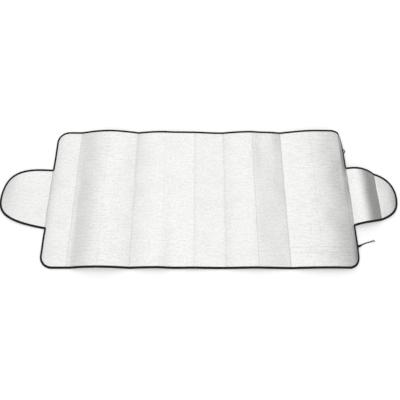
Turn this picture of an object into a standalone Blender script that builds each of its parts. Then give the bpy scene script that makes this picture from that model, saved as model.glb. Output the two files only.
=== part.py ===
"""Windshield sun shade: a folding foil sheet with two side ears, laid out on its back.

The sheet, the tape bound round its edge and the two elastic loops are modelled at their
real size in metres, +Z up. The sheet and its binding are cut flat first, at the size they
are sewn, and then formed over the fold lines, so every strip between folds keeps its
length. X runs along the shade, Y from its near edge to its far edge.
"""

import math
from typing import NamedTuple

import bmesh
import bpy
import numpy as np
from mathutils import Vector

# Driving dimensions of the panel, measured flat and over the binding
END_FLAP = 0.122
STRIP_WIDTH = 0.145
FOLD_COUNT = 10
LIP = 0.023
PANEL_DEPTH = 0.700
CORNER_RADIUS = 0.059

# Ears, cut in one with the sheet
EAR_LENGTH = 0.2305
EAR_END = 1.05
EAR_CORNER_RADIUS = 0.004
LEFT_EAR_BASE = 0.303
LEFT_EAR_CENTRE = -0.0145
RIGHT_EAR_BASE = 0.297
RIGHT_EAR_CENTRE = -0.0015

# Sheet and binding
SHEET_THICKNESS = 0.003
TAPE_THICKNESS = 0.0006
TAPE_REACH = 0.010
CLEARANCE = 0.0003

# Elastic loops
ELASTIC_DIAMETER = 0.0024
LOOP_PLACE = 0.2455
STRAND_SPACINGS = (0.0078, 0.0074, 0.0050)
NECK_SPACING = 0.0028
LOOP_EYE_RADIUS = 0.0048
LOOP_EYE_DISTANCE = 2.3 * LOOP_EYE_RADIUS
LOOP_EYE_TILT = math.radians(30)
LOOP_EYE_DEGREES = (125, 75, 25, -25, -75, -125)

# How finely the sheet follows its folds
CURVE_STEP = 0.024
ROW_STEP = 0.070
LIP_ROW_STEP = 0.023
CORNER_STEPS = 7
EAR_STEPS = 11
LOOP_POINTS = 56
ROUTE_STEPS = 20
ROW_DELTA = 0.001
WELD_DISTANCE = 1e-6
FLAT_DEGREES = 1
CREASE_DEGREES = 18

PANEL_LENGTH = END_FLAP + (FOLD_COUNT - 1) * STRIP_WIDTH + LIP
TAPE_GROWTH = TAPE_THICKNESS + CLEARANCE
HALF_LENGTH = PANEL_LENGTH / 2 - TAPE_GROWTH
HALF_DEPTH = PANEL_DEPTH / 2 - TAPE_GROWTH
BINDING_THICKNESS = SHEET_THICKNESS + 2 * TAPE_GROWTH

# Heights of the last fold over the far edge, the middle and the near edge, as shares of the
# width of a strip, and the share of its own width that the lip drops there
LIP_RIDGE = (0.158, 0.110, 0.062)
LIP_FALL = (0.87, 0.20, 0.40)


class Ear(NamedTuple):
    """An ear's outline: its side, its middle row, its base and the handles of its two curves.

    A handle is a share of the ear's length and a share of half its base. The far curve runs
    from the far corner to the tip and the near curve from the tip to the near corner.
    """

    side: int
    centre: float
    base: float
    far_handles: tuple
    near_handles: tuple


LEFT_EAR = Ear(-1, LEFT_EAR_CENTRE, LEFT_EAR_BASE,
               ((0.56, 1.045), (1.0, 0.88)), ((1.0, -0.53), (0.755, -0.805)))
RIGHT_EAR = Ear(1, RIGHT_EAR_CENTRE, RIGHT_EAR_BASE,
                ((0.56, 0.93), (1.0, 0.69)), ((1.0, -0.62), (0.79, -0.845)))


class FoldLine(NamedTuple):
    """A line across the sheet and the sheet's height there over its far edge, middle and near edge.

    place is measured flat from the panel's centre. soft_before and soft_after say whether the
    sheet runs level into the line from the left and out of it to the right. centre and half
    give the row that middle stands for and the distance from it to the two edges.
    """

    place: float
    far: float
    middle: float
    near: float
    soft_before: bool
    soft_after: bool
    centre: float = 0.0
    half: float = PANEL_DEPTH / 2


def fold(number):
    """Flat place of a fold, counted from 0 at the left; a part number lies between two folds."""
    return END_FLAP - PANEL_LENGTH / 2 + number * STRIP_WIDTH


def fold_line(number, far, middle, near, soft_before, soft_after):
    """A line across the panel, its heights given as shares of the width of a strip."""
    return FoldLine(fold(number), STRIP_WIDTH * far, STRIP_WIDTH * middle, STRIP_WIDTH * near,
                    soft_before, soft_after)


def ear_line(ear, reach, far, middle, near, soft_before, soft_after):
    """A line across an ear, its reach and heights given as shares of the ear's length."""
    return FoldLine(ear.side * (HALF_LENGTH + EAR_LENGTH * reach), EAR_LENGTH * far,
                    EAR_LENGTH * middle, EAR_LENGTH * near, soft_before, soft_after,
                    ear.centre, ear.base / 2)


def lip_line(distance):
    """A line across the lip, at a distance past the last fold."""
    heights = [STRIP_WIDTH * ridge - fall * distance for ridge, fall in zip(LIP_RIDGE, LIP_FALL)]
    return FoldLine(fold(FOLD_COUNT - 1) + distance, *heights, False, False)


FOLD_LINES = [
    ear_line(LEFT_EAR, EAR_END, 0.000, 0.000, 0.000, False, False),
    ear_line(LEFT_EAR, 0.716, 0.048, 0.030, 0.013, True, True),
    FoldLine(-HALF_LENGTH, 0.000, 0.000, 0.000, True, False),
    fold_line(0, 0.000, 0.000, 0.000, False, False),
    fold_line(1.02, 0.166, 0.186, 0.193, True, True),
    fold_line(2, 0.007, 0.007, 0.007, False, False),
    fold_line(2.85, 0.097, 0.097, 0.110, True, True),
    fold_line(3.38, 0.069, 0.048, 0.028, True, True),
    fold_line(4, 0.062, 0.055, 0.055, True, False),
    fold_line(5, 0.007, 0.007, 0.007, True, False),
    fold_line(6, 0.110, 0.110, 0.090, True, False),
    fold_line(7, 0.007, 0.007, 0.007, False, False),
    fold_line(8.25, 0.193, 0.172, 0.131, True, True),
    lip_line(0.0),
    lip_line(LIP - TAPE_REACH - CLEARANCE),
    lip_line(LIP - TAPE_GROWTH),
    ear_line(RIGHT_EAR, 0.247, 0.126, 0.130, 0.126, True, True),
    ear_line(RIGHT_EAR, 0.612, 0.013, 0.013, 0.013, False, False),
    ear_line(RIGHT_EAR, 0.846, 0.022, 0.026, 0.022, True, True),
    ear_line(RIGHT_EAR, EAR_END, 0.000, 0.000, 0.000, False, False),
]
REFERENCE_FOLD = fold(4)

# Room beside an ear's base over which the sheet's edge passes from the ear's slope to its own
EAR_BLEND_START = 0.006
EAR_BLEND_WIDTH = 0.010

# Routes of the elastic loops: how far a loop has gone out from the edge, how far it has
# swung towards the far edge, and how high its middle lies above the floor; with no height
# given, it still runs straight out of the binding
FLOOR_LIFT = ELASTIC_DIAMETER / 2 + CLEARANCE
NEAR_LOOP_ROUTE = [(0.000, 0.000, None), (0.004, 0.000, None), (0.012, 0.004, 0.0030),
                   (0.022, 0.009, FLOOR_LIFT), (0.033, 0.0137, FLOOR_LIFT),
                   (0.045, 0.0178, FLOOR_LIFT), (0.055, 0.0206, FLOOR_LIFT),
                   (0.065, 0.0231, FLOOR_LIFT)]
FAR_LOOP_ROUTE = [(0.000, 0.000, None), (0.0030, 0.000, None), (0.0064, -0.0009, 0.0080),
                  (0.0088, -0.0033, 0.0066), (0.0097, -0.0066, 0.0052),
                  (0.0088, -0.0099, 0.0040), (0.0064, -0.0124, 0.0030),
                  (0.0030, -0.0136, 0.0022), (-0.004, -0.0142, FLOOR_LIFT),
                  (-0.016, -0.0155, FLOOR_LIFT), (-0.030, -0.018, FLOOR_LIFT),
                  (-0.045, -0.022, FLOOR_LIFT), (-0.060, -0.027, FLOOR_LIFT)]


# Flat outline
def bezier(start, handle_a, handle_b, end, steps):
    """Points along a cubic curve, its first point included and its last left out."""
    points = []
    for step in range(steps):
        f = step / steps
        g = 1 - f
        points.append(start * g ** 3 + handle_a * 3 * g * g * f + handle_b * 3 * g * f * f
                      + end * f ** 3)
    return points


def ear_points(ear):
    """An ear's outline from its near corner round the tip to its far corner."""
    def place(length_share, half_share):
        return Vector((ear.side * (HALF_LENGTH + length_share * EAR_LENGTH),
                       ear.centre + half_share * ear.base / 2))

    tip = place(1, 0)
    near_corner = place(0, -1)
    far_corner = place(0, 1)
    near_side = [place(*handle) for handle in ear.near_handles]
    far_side = [place(*handle) for handle in ear.far_handles]
    points = bezier(near_corner, near_side[1], near_side[0], tip, EAR_STEPS)
    points += bezier(tip, far_side[1], far_side[0], far_corner, EAR_STEPS)
    points.append(far_corner)
    return points


def rounded_corner(before, corner, after, radius):
    """Points of the arc that rounds a corner, from its start to its end."""
    to_before = (before - corner).normalized()
    to_after = (after - corner).normalized()
    half_angle = to_before.angle(to_after) / 2
    setback = radius / math.tan(half_angle)
    bisector = (to_before + to_after).normalized()
    centre = corner + bisector * radius / math.sin(half_angle)
    start = corner + to_before * setback - centre
    end = corner + to_after * setback - centre
    sweep = start.angle_signed(end)
    points = []
    for step in range(CORNER_STEPS + 1):
        turn = -sweep * step / CORNER_STEPS
        cos_turn = math.cos(turn)
        sin_turn = math.sin(turn)
        points.append(centre + Vector((start.x * cos_turn - start.y * sin_turn,
                                       start.x * sin_turn + start.y * cos_turn)))
    return points


def sheet_outline():
    """The sheet's cut edge, counter-clockwise seen from above."""
    near_left = Vector((-HALF_LENGTH, -HALF_DEPTH))
    near_right = Vector((HALF_LENGTH, -HALF_DEPTH))
    far_right = Vector((HALF_LENGTH, HALF_DEPTH))
    far_left = Vector((-HALF_LENGTH, HALF_DEPTH))
    right_ear = ear_points(RIGHT_EAR)
    left_ear = ear_points(LEFT_EAR)[::-1]
    radius = CORNER_RADIUS
    outline = rounded_corner(far_left, near_left, near_right, radius)
    outline += rounded_corner(near_left, near_right, far_right, radius)
    outline += rounded_corner(near_right, right_ear[0], right_ear[1], EAR_CORNER_RADIUS)
    outline += right_ear[1:-1]
    outline += rounded_corner(right_ear[-2], right_ear[-1], far_right, EAR_CORNER_RADIUS)
    outline += rounded_corner(near_right, far_right, far_left, radius)
    outline += rounded_corner(far_right, far_left, near_left, radius)
    outline += rounded_corner(far_left, left_ear[0], left_ear[1], EAR_CORNER_RADIUS)
    outline += left_ear[1:-1]
    outline += rounded_corner(left_ear[-2], left_ear[-1], near_left, EAR_CORNER_RADIUS)
    return outline


# Forming the flat sheet over its folds
def row_heights(line, rows):
    """Heights of a fold line at the given rows, on a curve through its three heights."""
    share = (rows - line.centre) / line.half
    tilt = (line.far - line.near) / 2
    bow = (line.far + line.near) / 2 - line.middle
    return line.middle + tilt * share + bow * share * share


def ease(share, soft_start, soft_end):
    """Share of the rise between two fold lines, for a share of the way between them."""
    if soft_start and soft_end:
        return (1 - math.cos(math.pi * share)) / 2
    if soft_start:
        return 1 - math.cos(math.pi / 2 * share)
    if soft_end:
        return math.sin(math.pi / 2 * share)
    return share


class Forming:
    """Carries points of the flat sheet to their places on the folded one."""

    def __init__(self):
        self.stations = []
        self.spans = []
        for index, (line, following) in enumerate(zip(FOLD_LINES, FOLD_LINES[1:])):
            length = following.place - line.place
            curved = line.soft_after or following.soft_before
            steps = math.ceil(length / CURVE_STEP) if curved else 1
            for step in range(steps):
                share = step / steps
                self.stations.append(line.place + share * length)
                self.spans.append((index, ease(share, line.soft_after, following.soft_before)))
        self.stations.append(FOLD_LINES[-1].place)
        self.spans.append((len(FOLD_LINES) - 2, 1.0))
        self.stations = np.array(self.stations)
        self.reference = int(np.argmin(np.abs(self.stations - REFERENCE_FOLD)))
        self.shift = np.zeros(3)

    def ear_weight(self, rows, ear):
        """1 on the rows that an ear takes up and 0 past its corners."""
        past = np.abs(rows - ear.centre) - ear.base / 2 - EAR_BLEND_START
        share = np.clip(past / EAR_BLEND_WIDTH, 0, 1)
        return 1 - share * share * (3 - 2 * share)

    def heights(self, rows):
        """Heights at every station (first index) and row (second index)."""
        lines = np.array([row_heights(line, rows) for line in FOLD_LINES])
        result = np.array([lines[i] + (lines[i + 1] - lines[i]) * rise for i, rise in self.spans])
        for ear in (LEFT_EAR, RIGHT_EAR):
            edge = int(np.argmin(np.abs(self.stations - ear.side * HALF_LENGTH)))
            inner = edge - ear.side
            slope = (result[edge] - result[inner]) / (self.stations[edge] - self.stations[inner])
            weight = self.ear_weight(rows, ear)
            outer = range(edge + 1, len(self.stations)) if ear.side > 0 else range(edge)
            for station in outer:
                straight = result[edge] + slope * (self.stations[station] - self.stations[edge])
                result[station] = weight * result[station] + (1 - weight) * straight
        return result

    def middle_surface(self, rows):
        """Places along X and heights of the sheet's middle, each strip at its full width."""
        heights = self.heights(rows)
        widths = np.diff(self.stations)[:, None]
        runs = np.sqrt(widths ** 2 - np.diff(heights, axis=0) ** 2)
        along = np.concatenate([np.zeros((1, len(rows))), np.cumsum(runs, axis=0)])
        along += REFERENCE_FOLD - along[self.reference]
        return along, heights

    def points(self, flat):
        """Formed places of flat points (along, row, height over the sheet's middle)."""
        rows = flat[:, 1]
        along, heights = self.middle_surface(rows)
        along_far, heights_far = self.middle_surface(rows + ROW_DELTA)
        along_near, heights_near = self.middle_surface(rows - ROW_DELTA)
        row_slope_x = (along_far - along_near) / (2 * ROW_DELTA)
        row_slope_z = (heights_far - heights_near) / (2 * ROW_DELTA)
        run = np.diff(along, axis=0)
        rise = np.diff(heights, axis=0)
        strip_x = (row_slope_x[1:] + row_slope_x[:-1]) / 2
        strip_z = (row_slope_z[1:] + row_slope_z[:-1]) / 2
        normals = np.stack([-rise, rise * strip_x - run * strip_z, run], axis=-1)
        normals /= np.linalg.norm(normals, axis=-1, keepdims=True)
        before = np.concatenate([normals[:1], normals])
        after = np.concatenate([normals, normals[-1:]])
        facing = 1 + np.sum(before * after, axis=-1, keepdims=True)
        mitres = (before + after) / facing
        strip = np.clip(np.searchsorted(self.stations, flat[:, 0]) - 1, 0,
                        len(self.stations) - 2)
        share = (flat[:, 0] - self.stations[strip]) / np.diff(self.stations)[strip]
        column = np.arange(len(flat))
        middle = np.stack([along, np.broadcast_to(rows, along.shape), heights], axis=-1)
        corners = middle + mitres * flat[:, 2][None, :, None]
        start = corners[strip, column]
        end = corners[strip + 1, column]
        return start + (end - start) * share[:, None] + self.shift

    def bend(self, mesh):
        """Form a flat mesh in place."""
        flat = np.empty(len(mesh.vertices) * 3, dtype=np.float64)
        mesh.vertices.foreach_get("co", flat)
        mesh.vertices.foreach_set("co", self.points(flat.reshape(-1, 3)).ravel())
        mesh.update()

    def settle(self, meshes):
        """Centre the formed meshes on X and Y and stand them on the floor."""
        places = []
        for mesh in meshes:
            flat = np.empty(len(mesh.vertices) * 3, dtype=np.float64)
            mesh.vertices.foreach_get("co", flat)
            places.append(self.points(flat.reshape(-1, 3)))
        low = np.min([p.min(axis=0) for p in places], axis=0)
        high = np.max([p.max(axis=0) for p in places], axis=0)
        centre = (low + high) / 2
        self.shift = -np.array([centre[0], centre[1], low[2]])


def even_rows(step):
    """Rows that split the panel's depth into even parts no wider than step."""
    count = math.ceil(PANEL_DEPTH / step)
    return [PANEL_DEPTH * (index / count - 0.5) for index in range(1, count)]


def lip_rows():
    """Rows across the lip, which twists, with one where each ear's corner starts and ends."""
    rows = even_rows(LIP_ROW_STEP)
    for past in (EAR_BLEND_START, EAR_BLEND_START + EAR_BLEND_WIDTH / 2,
                 EAR_BLEND_START + EAR_BLEND_WIDTH):
        reach = RIGHT_EAR.base / 2 + past
        rows += [RIGHT_EAR.centre - reach, RIGHT_EAR.centre + reach]
    return rows


def cut_at_folds(mesh, stations):
    """Split a flat mesh's faces along every station and row, and triangulate them."""
    cutter = bmesh.new()
    cutter.from_mesh(mesh)
    planes = [((place, 0, 0), (1, 0, 0)) for place in stations]
    planes += [((0, row, 0), (0, 1, 0)) for row in even_rows(ROW_STEP)]
    for point, normal in planes:
        geometry = cutter.verts[:] + cutter.edges[:] + cutter.faces[:]
        bmesh.ops.bisect_plane(cutter, geom=geometry, dist=WELD_DISTANCE, plane_co=point,
                               plane_no=normal)
    low = fold(FOLD_COUNT - 1) - CLEARANCE
    high = HALF_LENGTH + TAPE_GROWTH + CLEARANCE
    for row in lip_rows():
        faces = [face for face in cutter.faces
                 if all(low < corner.co.x < high for corner in face.verts)]
        edges = {edge for face in faces for edge in face.edges}
        corners = {corner for face in faces for corner in face.verts}
        bmesh.ops.bisect_plane(cutter, geom=list(corners) + list(edges) + faces,
                               dist=WELD_DISTANCE, plane_co=(0, row, 0), plane_no=(0, 1, 0))
    bmesh.ops.remove_doubles(cutter, verts=cutter.verts[:], dist=WELD_DISTANCE)
    bmesh.ops.triangulate(cutter, faces=cutter.faces[:])
    bmesh.ops.recalc_face_normals(cutter, faces=cutter.faces[:])
    cutter.to_mesh(mesh)
    cutter.free()


# Objects, materials and collections
def clear_scene():
    """Remove everything that the scene holds."""
    for item in list(bpy.data.objects):
        bpy.data.objects.remove(item, do_unlink=True)
    for collection in list(bpy.data.collections):
        bpy.data.collections.remove(collection)


def make_collection(name):
    """A collection linked to the scene."""
    collection = bpy.data.collections.new(name)
    bpy.context.scene.collection.children.link(collection)
    return collection


def make_material(name, colour, roughness, metallic):
    """A plain Principled material."""
    material = bpy.data.materials.new(name)
    material.use_nodes = True
    shader = material.node_tree.nodes["Principled BSDF"]
    shader.inputs["Base Color"].default_value = (*colour, 1.0)
    shader.inputs["Roughness"].default_value = roughness
    shader.inputs["Metallic"].default_value = metallic
    material.diffuse_color = (*colour, 1.0)
    return material


def closed_spline(curve, points):
    """Add a closed poly spline through flat points."""
    spline = curve.splines.new("POLY")
    spline.points.add(len(points) - 1)
    for target, point in zip(spline.points, points):
        target.co = (point[0], point[1], 0, 1)
    spline.use_cyclic_u = True
    return spline


def mesh_from_curve(curve_object, name):
    """A curve object's mesh with its loose caps welded; the curve is removed."""
    depsgraph = bpy.context.evaluated_depsgraph_get()
    mesh = bpy.data.meshes.new_from_object(curve_object.evaluated_get(depsgraph))
    mesh.name = name
    curve = curve_object.data
    bpy.data.objects.remove(curve_object, do_unlink=True)
    bpy.data.curves.remove(curve)
    welder = bmesh.new()
    welder.from_mesh(mesh)
    bmesh.ops.remove_doubles(welder, verts=welder.verts[:], dist=WELD_DISTANCE)
    bmesh.ops.recalc_face_normals(welder, faces=welder.faces[:])
    welder.to_mesh(mesh)
    welder.free()
    return mesh


def flat_sheet(outline):
    """The sheet as cut from the roll, one flat plate with both ears."""
    curve = bpy.data.curves.new("sheet_cut", "CURVE")
    curve.dimensions = "2D"
    curve.fill_mode = "BOTH"
    curve.extrude = SHEET_THICKNESS / 2
    closed_spline(curve, outline)
    plate = bpy.data.objects.new("sheet_cut", curve)
    bpy.context.scene.collection.objects.link(plate)
    mesh = mesh_from_curve(plate, "shade_sheet")
    joiner = bmesh.new()
    joiner.from_mesh(mesh)
    bmesh.ops.dissolve_limit(joiner, angle_limit=math.radians(FLAT_DEGREES),
                             verts=joiner.verts[:], edges=joiner.edges[:])
    joiner.to_mesh(mesh)
    joiner.free()
    return mesh


def tape_section():
    """The folded tape's section: a channel whose open side faces the sheet's middle.

    Its first coordinate runs inwards from the sheet's cut edge and its second runs up.
    """
    back = -TAPE_GROWTH
    lip = TAPE_REACH - TAPE_GROWTH
    half = BINDING_THICKNESS / 2
    inner_half = SHEET_THICKNESS / 2 + CLEARANCE
    return [(back, -half), (lip, -half), (lip, -inner_half), (-CLEARANCE, -inner_half),
            (-CLEARANCE, inner_half), (lip, inner_half), (lip, half), (back, half)]


def flat_binding(outline):
    """The tape folded over the sheet's edge, one closed ring swept round the outline."""
    profile_curve = bpy.data.curves.new("tape_section", "CURVE")
    profile_curve.dimensions = "2D"
    closed_spline(profile_curve, tape_section())
    profile = bpy.data.objects.new("tape_section", profile_curve)
    bpy.context.scene.collection.objects.link(profile)
    curve = bpy.data.curves.new("tape_path", "CURVE")
    curve.dimensions = "2D"
    curve.fill_mode = "NONE"
    curve.bevel_mode = "OBJECT"
    curve.bevel_object = profile
    closed_spline(curve, outline)
    path = bpy.data.objects.new("tape_path", curve)
    bpy.context.scene.collection.objects.link(path)
    mesh = mesh_from_curve(path, "edge_binding")
    bpy.data.objects.remove(profile, do_unlink=True)
    bpy.data.curves.remove(profile_curve)
    return mesh


# Elastic loops
def smooth_points(route, count):
    """Evenly spaced points on a smooth curve through a route's points."""
    knots = np.array([tuple(point) for point in route])
    padded = np.vstack([2 * knots[0] - knots[1], knots, 2 * knots[-1] - knots[-2]])
    fine = []
    for a, b, c, d in zip(padded, padded[1:], padded[2:], padded[3:]):
        for step in range(ROUTE_STEPS):
            f = step / ROUTE_STEPS
            fine.append(0.5 * (2 * b + (c - a) * f + (2 * a - 5 * b + 4 * c - d) * f * f
                               + (3 * b - a - 3 * c + d) * f ** 3))
    fine.append(knots[-1])
    fine = np.array(fine)
    travelled = np.concatenate([[0], np.cumsum(np.linalg.norm(np.diff(fine, axis=0), axis=1))])
    wanted = np.linspace(0, travelled[-1], count)
    return np.stack([np.interp(wanted, travelled, fine[:, axis]) for axis in range(3)], axis=-1)


def loop_route(exit_point, outwards, route):
    """Route of both strands of a loop: out along one, round its eye and back along the other.

    The eye leans, with its far side on the floor.
    """
    middle = []
    for out, swing, height in route:
        if height is None:
            middle.append(exit_point + outwards * out)
        else:
            middle.append(Vector((exit_point.x + out, exit_point.y + swing, height)))
    spacing = list(STRAND_SPACINGS) + [NECK_SPACING] * (len(middle) - len(STRAND_SPACINGS))
    left_strand = []
    right_strand = []
    for index, point in enumerate(middle):
        ahead = middle[min(index + 1, len(middle) - 1)] - middle[max(index - 1, 0)]
        sideways = Vector((-ahead.y, ahead.x, 0)).normalized()
        left_strand.append(point + sideways * spacing[index] / 2)
        right_strand.append(point - sideways * spacing[index] / 2)
    along = (middle[-1] - middle[-2]).normalized()
    sideways = Vector((-along.y, along.x, 0))
    leaning = Vector((0, 0, math.sin(LOOP_EYE_TILT)))
    eye = middle[-1] + along * LOOP_EYE_DISTANCE + leaning * LOOP_EYE_RADIUS
    across = sideways * math.cos(LOOP_EYE_TILT) - leaning
    eye_points = []
    for degrees in LOOP_EYE_DEGREES:
        angle = math.radians(degrees)
        eye_points.append(eye + (along * math.cos(angle) + across * math.sin(angle))
                          * LOOP_EYE_RADIUS)
    return left_strand + eye_points + right_strand[::-1]


def elastic_loop(name, row, route, forming, collection, material):
    """A round elastic cord whose two ends are sewn under the binding on the right edge."""
    edge = HALF_LENGTH + TAPE_GROWTH + CLEARANCE
    exits = forming.points(np.array([(edge, row, 0.0), (edge + CLEARANCE, row, 0.0)]))
    exit_point = Vector(exits[0])
    outwards = (Vector(exits[1]) - exit_point).normalized()
    points = smooth_points(loop_route(exit_point, outwards, route), LOOP_POINTS)
    curve = bpy.data.curves.new(name, "CURVE")
    curve.dimensions = "3D"
    curve.bevel_depth = ELASTIC_DIAMETER / 2
    curve.bevel_resolution = 2
    curve.use_fill_caps = True
    spline = curve.splines.new("POLY")
    spline.points.add(len(points) - 1)
    for target, point in zip(spline.points, points):
        target.co = (*point, 1)
    curve.materials.append(material)
    loop = bpy.data.objects.new(name, curve)
    collection.objects.link(loop)
    return loop


def add_object(name, mesh, collection, material):
    """An object for a finished mesh."""
    mesh.materials.clear()
    mesh.materials.append(material)
    mesh.polygons.foreach_set("material_index", [0] * len(mesh.polygons))
    mesh.shade_smooth()
    mesh.set_sharp_from_angle(angle=math.radians(CREASE_DEGREES))
    item = bpy.data.objects.new(name, mesh)
    collection.objects.link(item)
    return item


def build():
    """Build the shade."""
    clear_scene()
    shade = make_collection("windshield_sun_shade")
    foil = make_material("foil_sheet", (0.80, 0.81, 0.79), 0.35, 0.9)
    tape = make_material("binding_tape", (0.02, 0.02, 0.022), 0.75, 0.0)
    elastic = make_material("elastic_cord", (0.015, 0.015, 0.016), 0.6, 0.0)

    outline = sheet_outline()
    forming = Forming()
    sheet = flat_sheet(outline)
    binding = flat_binding(outline)
    for mesh in (sheet, binding):
        cut_at_folds(mesh, forming.stations[1:-1])
    forming.settle([sheet, binding])
    for mesh in (sheet, binding):
        forming.bend(mesh)
    add_object("shade_sheet", sheet, shade, foil)
    add_object("edge_binding", binding, shade, tape)

    elastic_loop("elastic_loop_near", -LOOP_PLACE, NEAR_LOOP_ROUTE, forming, shade, elastic)
    elastic_loop("elastic_loop_far", LOOP_PLACE, FAR_LOOP_ROUTE, forming, shade, elastic)


build()
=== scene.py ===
"""Dressed model of a folding windshield sun shade, unfolded and laid out on its back.

The foil-faced sheet is cut flat, with its two ears, and formed over its fold lines. The tape
is bound round its cut edge and sewn down with one row of stitches, which shows on both faces,
and the two elastic loops are tacked under the tape at the right end. Sizes are in metres.
"""

import logging
import math
from dataclasses import dataclass, field
from enum import Enum

import bmesh
import bpy
import numpy as np
from bpy.types import Material, Mesh, Node, NodeSocket, NodeTree, Object
from mathutils import Matrix, Vector
from mathutils.kdtree import KDTree


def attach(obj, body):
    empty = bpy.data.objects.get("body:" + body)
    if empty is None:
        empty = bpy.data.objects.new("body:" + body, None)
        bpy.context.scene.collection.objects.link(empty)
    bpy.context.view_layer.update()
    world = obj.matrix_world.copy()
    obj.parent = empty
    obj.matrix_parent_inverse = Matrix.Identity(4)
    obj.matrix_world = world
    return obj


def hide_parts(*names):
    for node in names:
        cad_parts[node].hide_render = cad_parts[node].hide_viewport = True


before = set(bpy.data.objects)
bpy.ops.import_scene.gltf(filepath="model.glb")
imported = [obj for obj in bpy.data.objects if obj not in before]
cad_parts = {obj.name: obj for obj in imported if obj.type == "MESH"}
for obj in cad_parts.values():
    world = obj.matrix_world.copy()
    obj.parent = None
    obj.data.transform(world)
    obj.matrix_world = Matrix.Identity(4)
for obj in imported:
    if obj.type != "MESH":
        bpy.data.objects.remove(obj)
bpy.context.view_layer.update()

LOG = logging.getLogger("windshield_sun_shade")
BODY = "root"

Colour = tuple[float, float, float]
Point2 = tuple[float, float]

# Metres that the whole of each map stands for
CUT_MAP = 2.0
TAPE_MAP = 6.0

# Dust that shows on the black pieces
BLACK_DUST: Colour = (0.12, 0.115, 0.11)
BLACK_DUST_SHARE = 0.15

# Points at which the whole cut edge is measured
EDGE_SAMPLES = 2400

# Distance that counts as nothing where the flat sheet is split
SLIVER = 1e-6


class Side(Enum):
    """The end of the shade that an ear is cut on."""

    LEFT = -1
    RIGHT = 1


class Face(Enum):
    """A face of the laid-out sheet."""

    TOP = 1
    UNDERSIDE = -1


class Crease(Enum):
    """How sharply a strip's edge is pressed into the foam."""

    FAINT = 0.25
    PRESSED = 0.6
    SHARP = 1.0


# The cut pattern and the folds
@dataclass(frozen=True)
class Ear:
    """An ear, cut in one with the panel.

    A handle is a share of the ear's length and a share of half its base. The far curve runs
    from the far corner to the tip and the near curve from the tip to the near corner.
    """

    side: Side
    centre: float
    base: float
    far_handles: tuple[Point2, Point2]
    near_handles: tuple[Point2, Point2]
    length: float = 0.2305
    corner_radius: float = 0.004

    def outline(self, edge: float, steps: int) -> list[Vector]:
        """Trace the ear from its near corner round the tip to its far corner.

        Args:
            edge: Distance of the panel's cut edge from its middle.
            steps: Points on each of the two curves.

        Returns:
            Points of the cut edge, laid flat.
        """
        def place(share: Point2) -> Vector:
            """Flat place of a handle, given as shares of the ear's length and half base."""
            return Vector((self.side.value * (edge + share[0] * self.length),
                           self.centre + share[1] * self.base / 2))

        near_corner, tip, far_corner = place((0, -1)), place((1, 0)), place((0, 1))
        near = [place(handle) for handle in self.near_handles]
        far = [place(handle) for handle in self.far_handles]
        points = cubic(near_corner, near[1], near[0], tip, steps)
        points += cubic(tip, far[1], far[0], far_corner, steps)
        points.append(far_corner)
        return points


@dataclass(frozen=True)
class FoldLine:
    """A line across the sheet, with its height over the far edge, the middle and the near edge.

    place is measured flat from the panel's middle. soft_before and soft_after say whether the
    sheet runs level into the line from the left and out of it to the right.
    """

    place: float
    far: float
    middle: float
    near: float
    soft_before: bool
    soft_after: bool
    centre: float = 0.0
    half: float = 0.35

    def heights(self, rows: np.ndarray) -> np.ndarray:
        """Follow a curve through the line's three heights.

        Args:
            rows: Rows across the sheet.

        Returns:
            The line's height at each.
        """
        share = (rows - self.centre) / self.half
        tilt = (self.far - self.near) / 2
        bow = (self.far + self.near) / 2 - self.middle
        return self.middle + tilt * share + bow * share * share


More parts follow.
